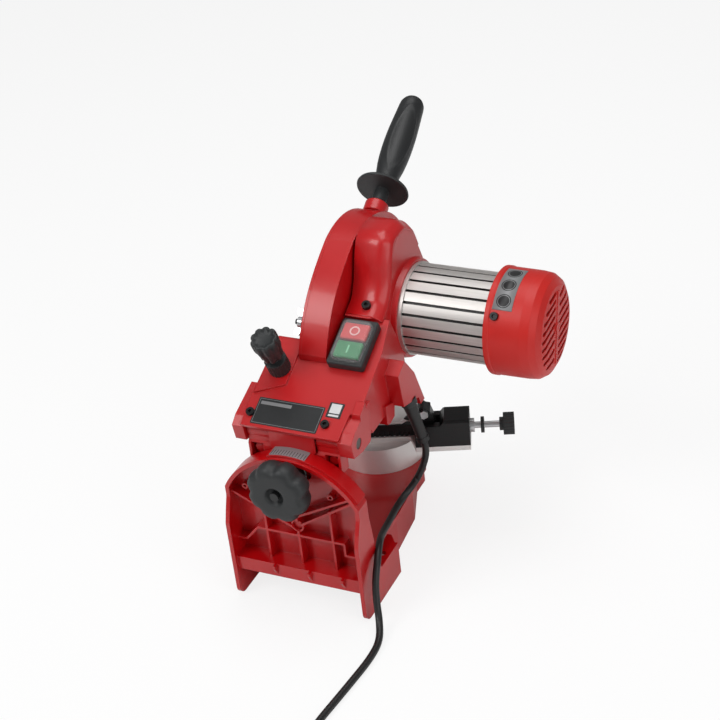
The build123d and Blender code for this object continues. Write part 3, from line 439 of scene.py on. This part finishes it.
dark_steel = Finish("dark_steel", Metallic=1.0)
scuffed = dark_steel.noise(1.4)
dark_steel.tint(scuffed, (0.10, 0.09, 0.085, 1), (0.17, 0.16, 0.15, 1))
dark_steel.shade("Roughness", scuffed * 0.2 + 0.34)
dark_steel.relief(scuffed, 0.02, 0.4)
dress(dark_steel, "hinge_pin")


def upright(x, z, y):
    """A point of a plate that stands across the machine, its outline first."""
    return at(x, y, z)


COVER_OUTLINE = [(21.5, 171.8), (21.5, 155.5), (19.5, 153.5),
                 (-19.5, 153.5), (-21.5, 155.5), (-21.5, 171.8)]
COVER_REAR, COVER_AHEAD = 24.4, 26.2
spring_cover = prism(COVER_OUTLINE, COVER_REAR, COVER_AHEAD, upright)
piece("spring_cover", spring_cover, red_casting, "arm")


# --- Star knob ----------------------------------------------------------------------------------
# Dark grey moulded knob with eight lobes and a fine spark-eroded grain, fixed on the black clamp
# bolt. The same plastic makes the smaller knobs, the hand guard, the switch's frame and the fan.

black_plastic = Finish("black_plastic", IOR=1.5)
grain = black_plastic.noise(0.55)
cloud = black_plastic.noise(20)
black_plastic.tint(cloud, (0.012, 0.014, 0.015, 1), (0.019, 0.021, 0.022, 1))
black_plastic.shade("Roughness", grain * 0.2 + 0.42)
black_plastic.relief(grain, 0.05, 0.8)
dress(black_plastic, "depth_lock_sleeve", "swivel_lock_knob", "adjust_knob", "switch_frame", "hand_guard",
      "cord_gland", "adjust_disc", "cooling_fan")
dress(cord_rubber, "clamp_bolt")


def turned(foot, axis, profile, sides=48, wave=None):
    """A closed body of revolution, its profile in (along, radius). A wave function can bend it."""
    axis = Vector(axis).normalized()
    side = Vector((1, 0, 0))
    side = (side - axis * side.dot(axis)).normalized()
    other = axis.cross(side)
    mesh = bpy.data.meshes.new("turned")
    points, faces, before = [], [], None
    for along, radius in profile:
        first = len(points)
        for k in range(sides if radius else 1):
            turn = 2 * math.pi * k / sides
            far, wide = wave(turn, along, radius) if wave and radius else (along, radius)
            out = side * math.cos(turn) + other * math.sin(turn)
            points.append(foot + (axis * far + out * wide) / 1000)
        ring = [first + k for k in range(sides)] if radius else [first] * sides
        if before:
            for k in range(sides):
                after = (k + 1) % sides
                corners = (before[k], before[after], ring[after], ring[k])
                faces.append(tuple(dict.fromkeys(corners)))
        before = ring
    mesh.from_pydata(points, [], faces)
    for face in mesh.polygons:
        face.use_smooth = True
    return mesh


STAR_FOOT = at(0, -17, 134)
STAR_SIDES = 192
STAR_LOBES = 8
STAR_DIP = 3.0
STAR_SHARPNESS = 2.2
STAR_HUB_R, STAR_FADE = 20, 6


def star_lobes(turn, along, radius):
    """Eight soft lobes round the rim, which fade out towards the hub."""
    dip = ((1 + math.cos(STAR_LOBES * turn)) / 2) ** STAR_SHARPNESS
    return along, radius - STAR_DIP * dip * min(1.0, max(0.0, (radius - STAR_HUB_R) / STAR_FADE))


STAR_PROFILE = [(4, 0), (4, 8.0), (0.7, 8.4), (0.1, 9.2), (0, 10.5), (0, 19), (0.3, 22.4), (1.2, 25),
                (3.6, 27.3), (8, 28.5), (14, 28), (19, 26), (22.5, 22), (24, 14), (24.6, 12),
                (36.8, 11.8), (36.8, 0)]
star_mesh = turned(STAR_FOOT, (0, 1, 0), STAR_PROFILE, STAR_SIDES, star_lobes)
star = piece("clamp_star", star_mesh, black_plastic, "tilt_clamp_knob")
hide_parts("star_knob")


# --- Head castings ------------------------------------------------------------------------------
# Red painted aluminium castings: one that carries the motor and the switch, the wheel guard and its
# cover. A smooth skin rounds the shoulder of the bracket between the guard and the motor.

dress(red_casting, "head_housing", "wheel_guard", "guard_cover")


def swept(section, path, normals):
    """A closed band: a section of (across, inset) points carried along a path in the upright plane."""
    mesh = bpy.data.meshes.new("swept")
    points = []
    for (y, z), (ny, nz) in zip(path, normals):
        points += [at(x, y - ny * inset, z - nz * inset) for x, inset in section]
    count = len(section)
    faces = [tuple(range(count)), tuple(range(len(points) - count, len(points)))[::-1]]
    for i in range(len(path) - 1):
        for k in range(count):
            after = (k + 1) % count
            low, high = i * count, (i + 1) * count
            faces.append((low + after, low + k, high + k, high + after))
    mesh.from_pydata(points, [], faces)
    for face in mesh.polygons:
        face.use_smooth = len(face.vertices) == 4
    return mesh


SHOULDER = [(121.5, 232.0), (125.2, 233.7), (131.6, 237.1), (138.4, 241.8), (143.6, 248.7), (147.2, 256),
            (149.6, 263.6), (151.5, 271.2), (154.9, 279.9), (159.4, 288.4), (165.8, 292.9), (173.9, 294.7),
            (190.2, 294.7), (202.0, 288.2), (212.4, 280.3), (223.6, 257), (234, 234)]
SHOULDER_SECTION = [(12.0, 0.9), (12.6, 0), (32.5, 0), (34.6, 0.12), (36.4, 0.65), (38.2, 1.55),
                    (41.5, 3.9), (44.9, 6.5), (44.9, 9.5), (12.0, 4)]
SHOULDER_STEPS = 6
shoulder_path = []
for i in range(1, len(SHOULDER) - 2):
    p0, p1, p2, p3 = [Vector(p) for p in SHOULDER[i - 1:i + 3]]
    for step in range(SHOULDER_STEPS):
        t = step / SHOULDER_STEPS
        shoulder_path.append(0.5 * (2 * p1 + (p2 - p0) * t + (2 * p0 - 5 * p1 + 4 * p2 - p3) * t ** 2
                                    + (3 * p1 - p0 - 3 * p2 + p3) * t ** 3))
shoulder_normals = []
for i in range(len(shoulder_path)):
    before, after = shoulder_path[max(i - 1, 0)], shoulder_path[min(i + 1, len(shoulder_path) - 1)]
    along = (after - before).normalized()
    shoulder_normals.append((-along.y, along.x))
shoulder = swept(SHOULDER_SECTION, shoulder_path, shoulder_normals)
piece("bracket_skin", shoulder, red_casting, "head")


# --- Labels -------------------------------------------------------------------------------------
# Two thin printed plates, glued to the sloping panel: a dark one with a fine frame and one plain
# bar, and a small one with two pale blocks. Neither carries any lettering.

PANEL_Y, PANEL_Z = 21, 175
PANEL_RUN, PANEL_RISE = 0.90258, 0.43051


def on_panel(x, up_slope, height):
    """A point over the sloping panel, by its distance from the panel's lower edge and above its face."""
    return at(x, PANEL_Y + up_slope * PANEL_RUN - height * PANEL_RISE,
              PANEL_Z + up_slope * PANEL_RISE + height * PANEL_RUN)


def rounded(x0, x1, y0, y1, radius, inset=0.0, steps=4):
    """The outline of a rounded rectangle, anticlockwise."""
    outline = []
    radius = max(0.1, radius - inset)
    for quarter, (x, y) in enumerate(((x1, y0), (x1, y1), (x0, y1), (x0, y0))):
        x += (-inset - radius) if x == x1 else (inset + radius)
        y += (-inset - radius) if y == y1 else (inset + radius)
        for step in range(steps + 1):
            turn = math.pi / 2 * (quarter - 1 + step / steps)
            outline.append((x + radius * math.cos(turn), y + radius * math.sin(turn)))
    return outline


class Plate(Finish):
    """A finish for a flat label on the panel, which can tell how far across and up a point lies."""

    def span(self, x0, x1, s0, s1):
        """1 inside a rectangle of the panel, 0 outside, in millimetres."""
        x, y, z = self.spot()
        ahead = y + (FEET_TO_FRONT - PANEL_Y) / 1000
        slope = ahead * PANEL_RUN + (z - PANEL_Z / 1000) * PANEL_RISE
        return (x > x0 / 1000) * (x < x1 / 1000) * (slope > s0 / 1000) * (slope < s1 / 1000)


PLATE_LOW, PLATE_HIGH = -0.3, 0.3
PLATE_DARK = ((0.010, 0.011, 0.012, 1), (0.016, 0.017, 0.018, 1))

RATING_SIZE = (-38, 24.5, 3, 29.3)
RATING_FRAME = (-36.9, 23.4, 4.1, 28.2)
RATING_FIELD = (-36.5, 23.0, 4.5, 27.8)
RATING_BAR = (-35, -6, 22.6, 25.8)
rating = Plate("rating_plate", IOR=1.5)
worn = rating.noise(4)
light = rating.span(*RATING_FRAME) - rating.span(*RATING_FIELD) + rating.span(*RATING_BAR)
rating.tint(light, rating.blend(worn, *PLATE_DARK), (0.20, 0.20, 0.205, 1))
rating.shade("Roughness", worn * 0.1 + 0.30)
rating_mesh = prism(rounded(*RATING_SIZE, 1.0), PLATE_LOW, PLATE_HIGH, on_panel)
piece("rating_plate", rating_mesh, rating, "head")

SMALL_SIZE = (27, 40.5, 20.6, 35.4)
SMALL_BLOCK = (28.9, 38.6, 25.0, 34.2)
SMALL_STRIPE = (28.9, 38.6, 21.9, 23.8)
small = Plate("small_plate", IOR=1.5)
worn = small.noise(4)
light = small.span(*SMALL_BLOCK) + small.span(*SMALL_STRIPE)
small.tint(light, small.blend(worn, *PLATE_DARK), (0.62, 0.62, 0.62, 1))
small.shade("Roughness", worn * 0.1 + 0.34)
small_mesh = prism(rounded(*SMALL_SIZE, 0.8), PLATE_LOW, PLATE_HIGH, on_panel)
piece("small_plate", small_mesh, small, "head")


# --- Grip ---------------------------------------------------------------------------------------
# Soft black handle, moulded round its stud above the hand guard. It swells in the palm, ends on a
# slant, and has a raised oval line along one side.

GRIP_FOOT = at(-3.5, 237, 279)
GRIP_WAY = (-0.05, 0.9015, 0.43)
GRIP_END = 124.5
GRIP_SIDES = 96
GRIP_RING_STEP = 1.2
SLANT_FROM, SLANT = 100, 3.5
RIDGE_TURN = math.radians(-62)
RIDGE_MIDDLE, RIDGE_HALF_LENGTH, RIDGE_HALF_TURN = 74, 37, 0.75
RIDGE_HEIGHT, RIDGE_WIDTH = 0.55, 0.09
soft_grip = Finish("soft_grip", IOR=1.5)
grain = soft_grip.noise(0.7)
soft_grip.tint(grain, (0.008, 0.009, 0.010, 1), (0.015, 0.016, 0.017, 1))
soft_grip.shade("Roughness", grain * 0.14 + 0.40)
soft_grip.relief(grain, 0.05, 0.4)


def grip_swell(turn, along, radius):
    """A slanted end, and a raised oval line moulded along the palm side."""
    lean = max(0.0, (along - SLANT_FROM) / (GRIP_END - SLANT_FROM))
    aside = math.remainder(turn - RIDGE_TURN, 2 * math.pi)
    oval = math.hypot((along - RIDGE_MIDDLE) / RIDGE_HALF_LENGTH, aside / RIDGE_HALF_TURN)
    ridge = RIDGE_HEIGHT * math.exp(-((oval - 1) / RIDGE_WIDTH) ** 2)
    return along - SLANT * lean * (1 - math.cos(aside)), radius + ridge


GRIP_SHAPE = [(21.5, 9.2), (24, 9.5), (30, 10.2), (38, 11.4), (46, 12.7), (55, 13.5), (64, 13.9), (72, 14.0),
              (80, 13.9), (88, 13.6), (96, 13.1), (104, 12.6), (112, 12.1), (118, 11.8), (121.5, 11.4),
              (123.6, 10.4), (GRIP_END, 8.6)]
grip_profile = [(GRIP_SHAPE[0][0], 0)]
for (t0, r0), (t1, r1) in zip(GRIP_SHAPE, GRIP_SHAPE[1:]):
    steps = max(1, round((t1 - t0) / GRIP_RING_STEP))
    grip_profile += [(t0 + (t1 - t0) * i / steps, r0 + (r1 - r0) * i / steps) for i in range(steps)]
grip_profile += [GRIP_SHAPE[-1], (GRIP_END, 0)]
grip_mesh = turned(GRIP_FOOT, GRIP_WAY, grip_profile, GRIP_SIDES, grip_swell)
grip = piece("moulded_grip", grip_mesh, soft_grip, "head")
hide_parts("handle_grip")


# --- Depth stop knob ----------------------------------------------------------------------------
# Dark moulded knob with nine finger lobes, on the screw that sets how deep the wheel cuts. It
# stands square to the sloping panel.

DEPTH_FOOT = on_panel(-30, 59, 0)
DEPTH_WAY = (0, -PANEL_RISE, PANEL_RUN)
DEPTH_SIDES = 216
FINGER_LOBES = 9
FINGER_DIP = 1.4
FINGER_HUB_R, FINGER_FADE = 8, 2


def depth_lobes(turn, along, radius):
    """Finger lobes round the head of the knob, which fade out towards its middle."""
    dip = ((1 + math.cos(FINGER_LOBES * turn)) / 2) ** 2
    return along, radius - FINGER_DIP * dip * min(1.0, max(0.0, radius - FINGER_HUB_R) / FINGER_FADE)


DEPTH_PROFILE = [(23.5, 0), (23.5, 9.4), (24.2, 10.2), (29, 10.4), (33, 11.0), (36, 11.9), (39, 12.3),
                 (43, 12.4), (47, 12.3), (48.4, 11.8), (49, 10.8), (48.6, 9.8), (47.4, 8.6), (46.4, 5),
                 (46.2, 0)]
depth_mesh = turned(DEPTH_FOOT, DEPTH_WAY, DEPTH_PROFILE, DEPTH_SIDES, depth_lobes)
depth = piece("depth_head", depth_mesh, black_plastic, "depth_stop_knob")
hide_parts("depth_knob")


# --- End cap ------------------------------------------------------------------------------------
# Red moulded cap over the motor's fan, a little more orange than the castings. A grey strip with
# three plain round marks is bent over its top and glued down.

cap_red = Finish("cap_red", IOR=1.45)
cloud = cap_red.noise(30)
peel = cap_red.noise(1.2)
cap_red.tint(cloud, (0.50, 0.010, 0.007, 1), (0.57, 0.014, 0.009, 1))
cap_red.shade("Roughness", cloud * 0.1 + 0.38)
cap_red.relief(peel, 0.04, 0.9)
dress(cap_red, "end_cap")

AXIS_Y, AXIS_Z = 188.0, 209.0
STRIP_R = 48.0
STRIP_FROM, STRIP_TO = 48.0, -11.0
STRIP_STEPS = 40
STRIP_LEFT, STRIP_RIGHT = 137.6, 155.2
STRIP_THICKNESS = 0.8
MARK_PLACES = (38, 18.5, -1)
MARK_RIM_R, MARK_FIELD_R, MARK_DOT_R = 0.0065, 0.0056, 0.0050
strip_grey = Finish("strip_grey", IOR=1.5)
x, y, z = strip_grey.spot()
lean = strip_grey.maths("ARCTAN2", (AXIS_Y - FEET_TO_FRONT) / 1000 - y, z - AXIS_Z / 1000)
across = x - (STRIP_LEFT + STRIP_RIGHT) / 2000
marks = 0.0
for degrees in MARK_PLACES:
    around = (lean - math.radians(degrees)) * (STRIP_R / 1000)
    far = across * across + around * around
    marks = (far < MARK_RIM_R ** 2) - (far < MARK_FIELD_R ** 2) + (far < MARK_DOT_R ** 2) + marks
worn = strip_grey.noise(3)
grey = strip_grey.blend(worn, (0.20, 0.205, 0.21, 1), (0.26, 0.265, 0.27, 1))
strip_grey.tint(marks, grey, (0.014, 0.014, 0.015, 1))
strip_grey.shade("Roughness", worn * 0.1 + 0.36)
strip_path, strip_normals = [], []
for step in range(STRIP_STEPS + 1):
    turn = math.radians(STRIP_FROM + (STRIP_TO - STRIP_FROM) * step / STRIP_STEPS)
    strip_normals.append((-math.sin(turn), math.cos(turn)))
    strip_path.append((AXIS_Y - STRIP_R * math.sin(turn), AXIS_Z + STRIP_R * math.cos(turn)))
strip_section = [(STRIP_LEFT, 0), (STRIP_RIGHT, 0),
                 (STRIP_RIGHT, STRIP_THICKNESS), (STRIP_LEFT, STRIP_THICKNESS)]
piece("cap_strip", swept(strip_section, strip_path, strip_normals), strip_grey, "head")


# --- Black screws -------------------------------------------------------------------------------
# Blackened steel socket screws, sunk in the panel, the bracket and the cap. The shield's screw has
# the same finish.

black_metal = Finish("black_metal", Metallic=0.4, IOR=1.5)
grain = black_metal.noise(0.7)
black_metal.tint(grain, (0.004, 0.004, 0.0045, 1), (0.010, 0.010, 0.0105, 1))
black_metal.shade("Roughness", grain * 0.2 + 0.26)
black_metal.relief(grain, 0.03, 0.5)
dress(black_metal, "head_screws", "cap_screws", "shield_screw")


# --- Switch -------------------------------------------------------------------------------------
# Red and green moulded keys in a black frame, each with its plain mark in pale ink: a ring for off
# and a bar for on. A clear soft cover is held over them by its rim.

button_red = Finish("button_red", IOR=1.5)
cloud = button_red.noise(6)
button_red.tint(cloud, (0.50, 0.025, 0.03, 1), (0.60, 0.04, 0.045, 1))
button_red.shade("Roughness", cloud * 0.1 + 0.25)
dress(button_red, "stop_button")

button_green = Finish("button_green", IOR=1.5)
cloud = button_green.noise(6)
button_green.tint(cloud, (0.006, 0.17, 0.055, 1), (0.010, 0.23, 0.075, 1))
button_green.shade("Roughness", cloud * 0.1 + 0.25)
dress(button_green, "start_button")

SWITCH_X, SWITCH_SLOPE = 29.0, 91.5
KEY_OFFSET = 9.2
RING_R, RING_HEIGHT, RING_POINTS = 4.6, 12.2, 40
RING_HALF_DEPTH, RING_WIDTH = 0.0002, 0.0012
mark_pale = Finish("mark_pale", Roughness=0.4)
cloud = mark_pale.noise(3)
mark_pale.tint(cloud, (0.70, 0.42, 0.42, 1), (0.80, 0.52, 0.52, 1))


def over_stop(reach, turn, height):
    """A point round the middle of the off key."""
    across, up_slope = reach * math.cos(turn), reach * math.sin(turn)
    return on_panel(SWITCH_X + across, SWITCH_SLOPE + KEY_OFFSET + up_slope, height)


ring_path = [over_stop(RING_R, 2 * math.pi * k / RING_POINTS, RING_HEIGHT) for k in range(RING_POINTS)]
ring_in = [(over_stop(0, 0, RING_HEIGHT) - point).normalized() for point in ring_path]
ring_way = (on_panel(0, 0, 1) - on_panel(0, 0, 0)).normalized()
ring = band(ring_path, ring_way, RING_HALF_DEPTH, RING_WIDTH, ring_in)
piece("off_mark", ring, mark_pale, "stop_key")

BAR_HALF_WIDTH, BAR_HALF_LENGTH, BAR_CORNER = 0.7, 4, 0.3
BAR_LOW, BAR_HIGH = 11.8, 12.3
mark_mint = Finish("mark_mint", Roughness=0.4)
cloud = mark_mint.noise(3)
mark_mint.tint(cloud, (0.16, 0.50, 0.28, 1), (0.24, 0.60, 0.36, 1))
on_slope = SWITCH_SLOPE - KEY_OFFSET
bar_outline = rounded(SWITCH_X - BAR_HALF_WIDTH, SWITCH_X + BAR_HALF_WIDTH,
                      on_slope - BAR_HALF_LENGTH, on_slope + BAR_HALF_LENGTH, BAR_CORNER)
piece("on_mark", prism(bar_outline, BAR_LOW, BAR_HIGH, on_panel), mark_mint, "start_key")


def loft(rings):
    """A closed skin through rings of points, the first seen anticlockwise from outside."""
    count = len(rings[0])
    mesh = bpy.data.meshes.new("loft")
    faces = [tuple(range(count)), tuple(range(count * (len(rings) - 1), count * len(rings)))[::-1]]
    for i in range(len(rings) - 1):
        for k in range(count):
            after = (k + 1) % count
            faces.append((i * count + k, (i + 1) * count + k, (i + 1) * count + after, i * count + after))
    mesh.from_pydata([p for ring in rings for p in ring], [], faces)
    for face in mesh.polygons:
        face.use_smooth = len(face.vertices) == 4
    return mesh


# Inset and height of each ring of the cover's skin, over its outside and back along its inside.
COVER_STEPS = ((4.4, 14.6), (2.4, 14.4), (1.0, 13.6), (0.3, 12.2), (0, 9.0), (0.8, 9.0), (1.1, 12.0),
               (1.8, 13.2), (3.0, 13.8), (4.8, 13.9))
COVER_SIZE = (14.5, 43.5, 71, 112)
COVER_CORNER, COVER_CORNER_STEPS = 6, 5
cover_clear = Finish("cover_clear", Roughness=0.05, IOR=1.5, Alpha=0.07)
haze = cover_clear.noise(9)
cover_clear.tint(haze, (0.80, 0.80, 0.80, 1), (0.95, 0.95, 0.95, 1))
cover_rings = []
for inset, height in COVER_STEPS:
    outline = rounded(*COVER_SIZE, COVER_CORNER, inset, COVER_CORNER_STEPS)
    cover_rings.append([on_panel(a, b, height) for a, b in outline])
piece("switch_cover", loft(cover_rings), cover_clear, "head")


# --- Shield -------------------------------------------------------------------------------------
# Clear pane that hangs on the guard and swings round one screw, under a wing nut. The nut's zinc
# plating is also on the depth screw, the switch's springs and the handle's stud.

clear_pane = Finish("clear_pane", Roughness=0.04, IOR=1.45, Transmission_Weight=1.0)
haze = clear_pane.noise(12)
clear_pane.tint(haze, (0.90, 0.93, 0.94, 1), (0.97, 0.98, 0.98, 1))
dress(clear_pane, "guard_shield")

zinc = Finish("zinc", Metallic=1.0)
grain = zinc.noise(4)
zinc.tint(grain, (0.50, 0.50, 0.51, 1), (0.62, 0.62, 0.63, 1))
zinc.shade("Roughness", grain * 0.12 + 0.26)
zinc.relief(grain, 0.01, 0.4)
dress(zinc, "wing_nut", "depth_screw", "button_springs", "handle_stud")


# --- Wheel --------------------------------------------------------------------------------------
# Pink vitrified grinding wheel, gritty and a little porous. Bright flanges and a nut clamp it on
# the motor's shaft, which turns in steel bearings.

stone = Finish("stone", Roughness=0.9)
grit = stone.noise(0.7, detail=4)
pores = stone.noise(1.6, detail=3)
stone.tint(grit, (0.42, 0.16, 0.12, 1), (0.66, 0.34, 0.27, 1))
stone.relief(pores, 0.25)
dress(stone, "grinding_wheel")
dress(zinc, "spindle_nut", "wheel_flanges", "motor_shaft", "bearings")


# --- Motor --------------------------------------------------------------------------------------
# Finned aluminium body between a plain collar and a cast bearing plate, with painted shade in the
# grooves between its fins. Inside are stacks of laminated steel and windings of copper wire.

# Painted shade: inside this radius of the motor's axis, between the fins, the colour is near black.
GROOVE_SHADE_R = 0.0402
fins = Finish("fins")
drawn_line = fins.noise(0.5, (60, 1, 1))
y, z = fins.spot((1, 2))
spot_y = y + (FEET_TO_FRONT - AXIS_Y) / 1000
spot_z = z - AXIS_Z / 1000
painted_groove_shade = spot_y * spot_y + spot_z * spot_z < GROOVE_SHADE_R ** 2
bright = fins.blend(drawn_line, (0.50, 0.475, 0.455, 1), (0.66, 0.635, 0.615, 1))
# The fins keep their bright aluminium; the grooves get painted shade, near black and not metallic.
fins.tint(painted_groove_shade, bright, (0.012, 0.011, 0.010, 1))
fins.shade("Metallic", 0.85 - painted_groove_shade * 0.85)
fins.shade("Roughness", drawn_line * 0.16 + 0.40)
fins.relief(drawn_line, 0.02, 0.3)
dress(fins, "motor_housing", "motor_flange")

silver_cast = Finish("silver_cast", Metallic=0.55)
grain = silver_cast.noise(0.6)
silver_cast.tint(grain, (0.72, 0.715, 0.70, 1), (0.84, 0.835, 0.82, 1))
silver_cast.shade("Roughness", grain * 0.14 + 0.36)
silver_cast.relief(grain, 0.02, 0.5)
dress(silver_cast, "rear_bearing_plate")

lamination = Finish("lamination", Metallic=0.9, Roughness=0.5)
sheets = lamination.noise(0.6, (1, 30, 30))
lamination.tint(sheets, (0.16, 0.16, 0.17, 1), (0.34, 0.34, 0.35, 1))
dress(lamination, "stator_core", "rotor_core")

copper = Finish("copper", Metallic=1.0, Roughness=0.35)
strand = copper.noise(0.8, (8, 1, 1))
copper.tint(strand, (0.50, 0.18, 0.08, 1), (0.72, 0.32, 0.16, 1))
dress(copper, "stator_windings")


# --- Vice ---------------------------------------------------------------------------------------
# Silver cast turntable, plate, rails and far jaw, with a blackened body, near jaw and link stop. Its
# bolts, the adjusting screw and the lock nut are zinc plated.

dress(silver_cast, "turntable_ring", "vice_plate", "chain_rails", "vice_far_jaw")
dress(black_metal, "vice_body", "vice_near_jaw", "stop_carrier", "chain_stop")
dress(zinc, "adjust_screw", "adjust_lock_nut", "chain_stop_bolt", "turntable_bolt")


# --- Stage --------------------------------------------------------------------------------------
# A plain pale floor and three soft lamps under an even sky. The camera sees the floor and the sky
# whiter than they light the machine, and the floor still takes its shadow.

FLOOR_HALF = 6.0
FLOOR_GLOW = 0.82
SKY_LEVEL = 0.26
floor_mesh = bpy.data.meshes.new("floor")
floor_corners = [(-FLOOR_HALF, -FLOOR_HALF, 0), (FLOOR_HALF, -FLOOR_HALF, 0),
                 (FLOOR_HALF, FLOOR_HALF, 0), (-FLOOR_HALF, FLOOR_HALF, 0)]
floor_mesh.from_pydata(floor_corners, [], [(0, 1, 2, 3)])
floor = bpy.data.objects.new("floor", floor_mesh)
bpy.context.scene.collection.objects.link(floor)
paper = Finish("paper")
paper.tree.nodes.remove(paper.shader)
seen = paper.node("LightPath", outlet="Is Camera Ray")
white = paper.node("Emission", None, {"Color": (1, 1, 1, 1), "Strength": 1.0})
matt = paper.node("BsdfDiffuse", None, {"Color": (0.92, 0.92, 0.92, 1)})
both = paper.node("MixShader", None, {0: seen * FLOOR_GLOW, 1: matt, 2: white})
paper.tree.links.new(both.socket, paper.tree.nodes["Material Output"].inputs["Surface"])
floor_mesh.materials.append(paper.material)

world = bpy.data.worlds.new("studio")
bpy.context.scene.world = world
world.use_nodes = True
sky = world.node_tree
backdrop = sky.nodes["Background"]
backdrop.inputs["Color"].default_value = (1, 1, 1, 1)
rays = sky.nodes.new("ShaderNodeLightPath")
level = sky.nodes.new("ShaderNodeMath")
level.operation = "MAXIMUM"
sky.links.new(rays.outputs["Is Camera Ray"], level.inputs[0])
level.inputs[1].default_value = SKY_LEVEL
sky.links.new(level.outputs[0], backdrop.inputs["Strength"])


def softbox(name, place, aim, width, height, power):
    """A rectangular lamp at a place, turned to a point, in metres and watts."""
    lamp = bpy.data.lights.new(name, "AREA")
    lamp.shape = "RECTANGLE"
    lamp.size = width
    lamp.size_y = height
    lamp.energy = power
    made = bpy.data.objects.new(name, lamp)
    bpy.context.scene.collection.objects.link(made)
    made.location = place
    made.rotation_mode = "QUATERNION"
    made.rotation_quaternion = (Vector(aim) - Vector(place)).to_track_quat("-Z", "Y")


softbox("key", (-0.9, -1.4, 1.7), (0, 0, 0.15), 1.0, 1.0, 20)
softbox("fill", (1.6, -0.9, 0.9), (0.05, 0, 0.15), 1.0, 1.4, 9)
softbox("top", (0.1, 0.1, 1.9), (0, 0, 0.1), 1.6, 1.0, 16)

bpy.context.scene.view_settings.view_transform = "Standard"
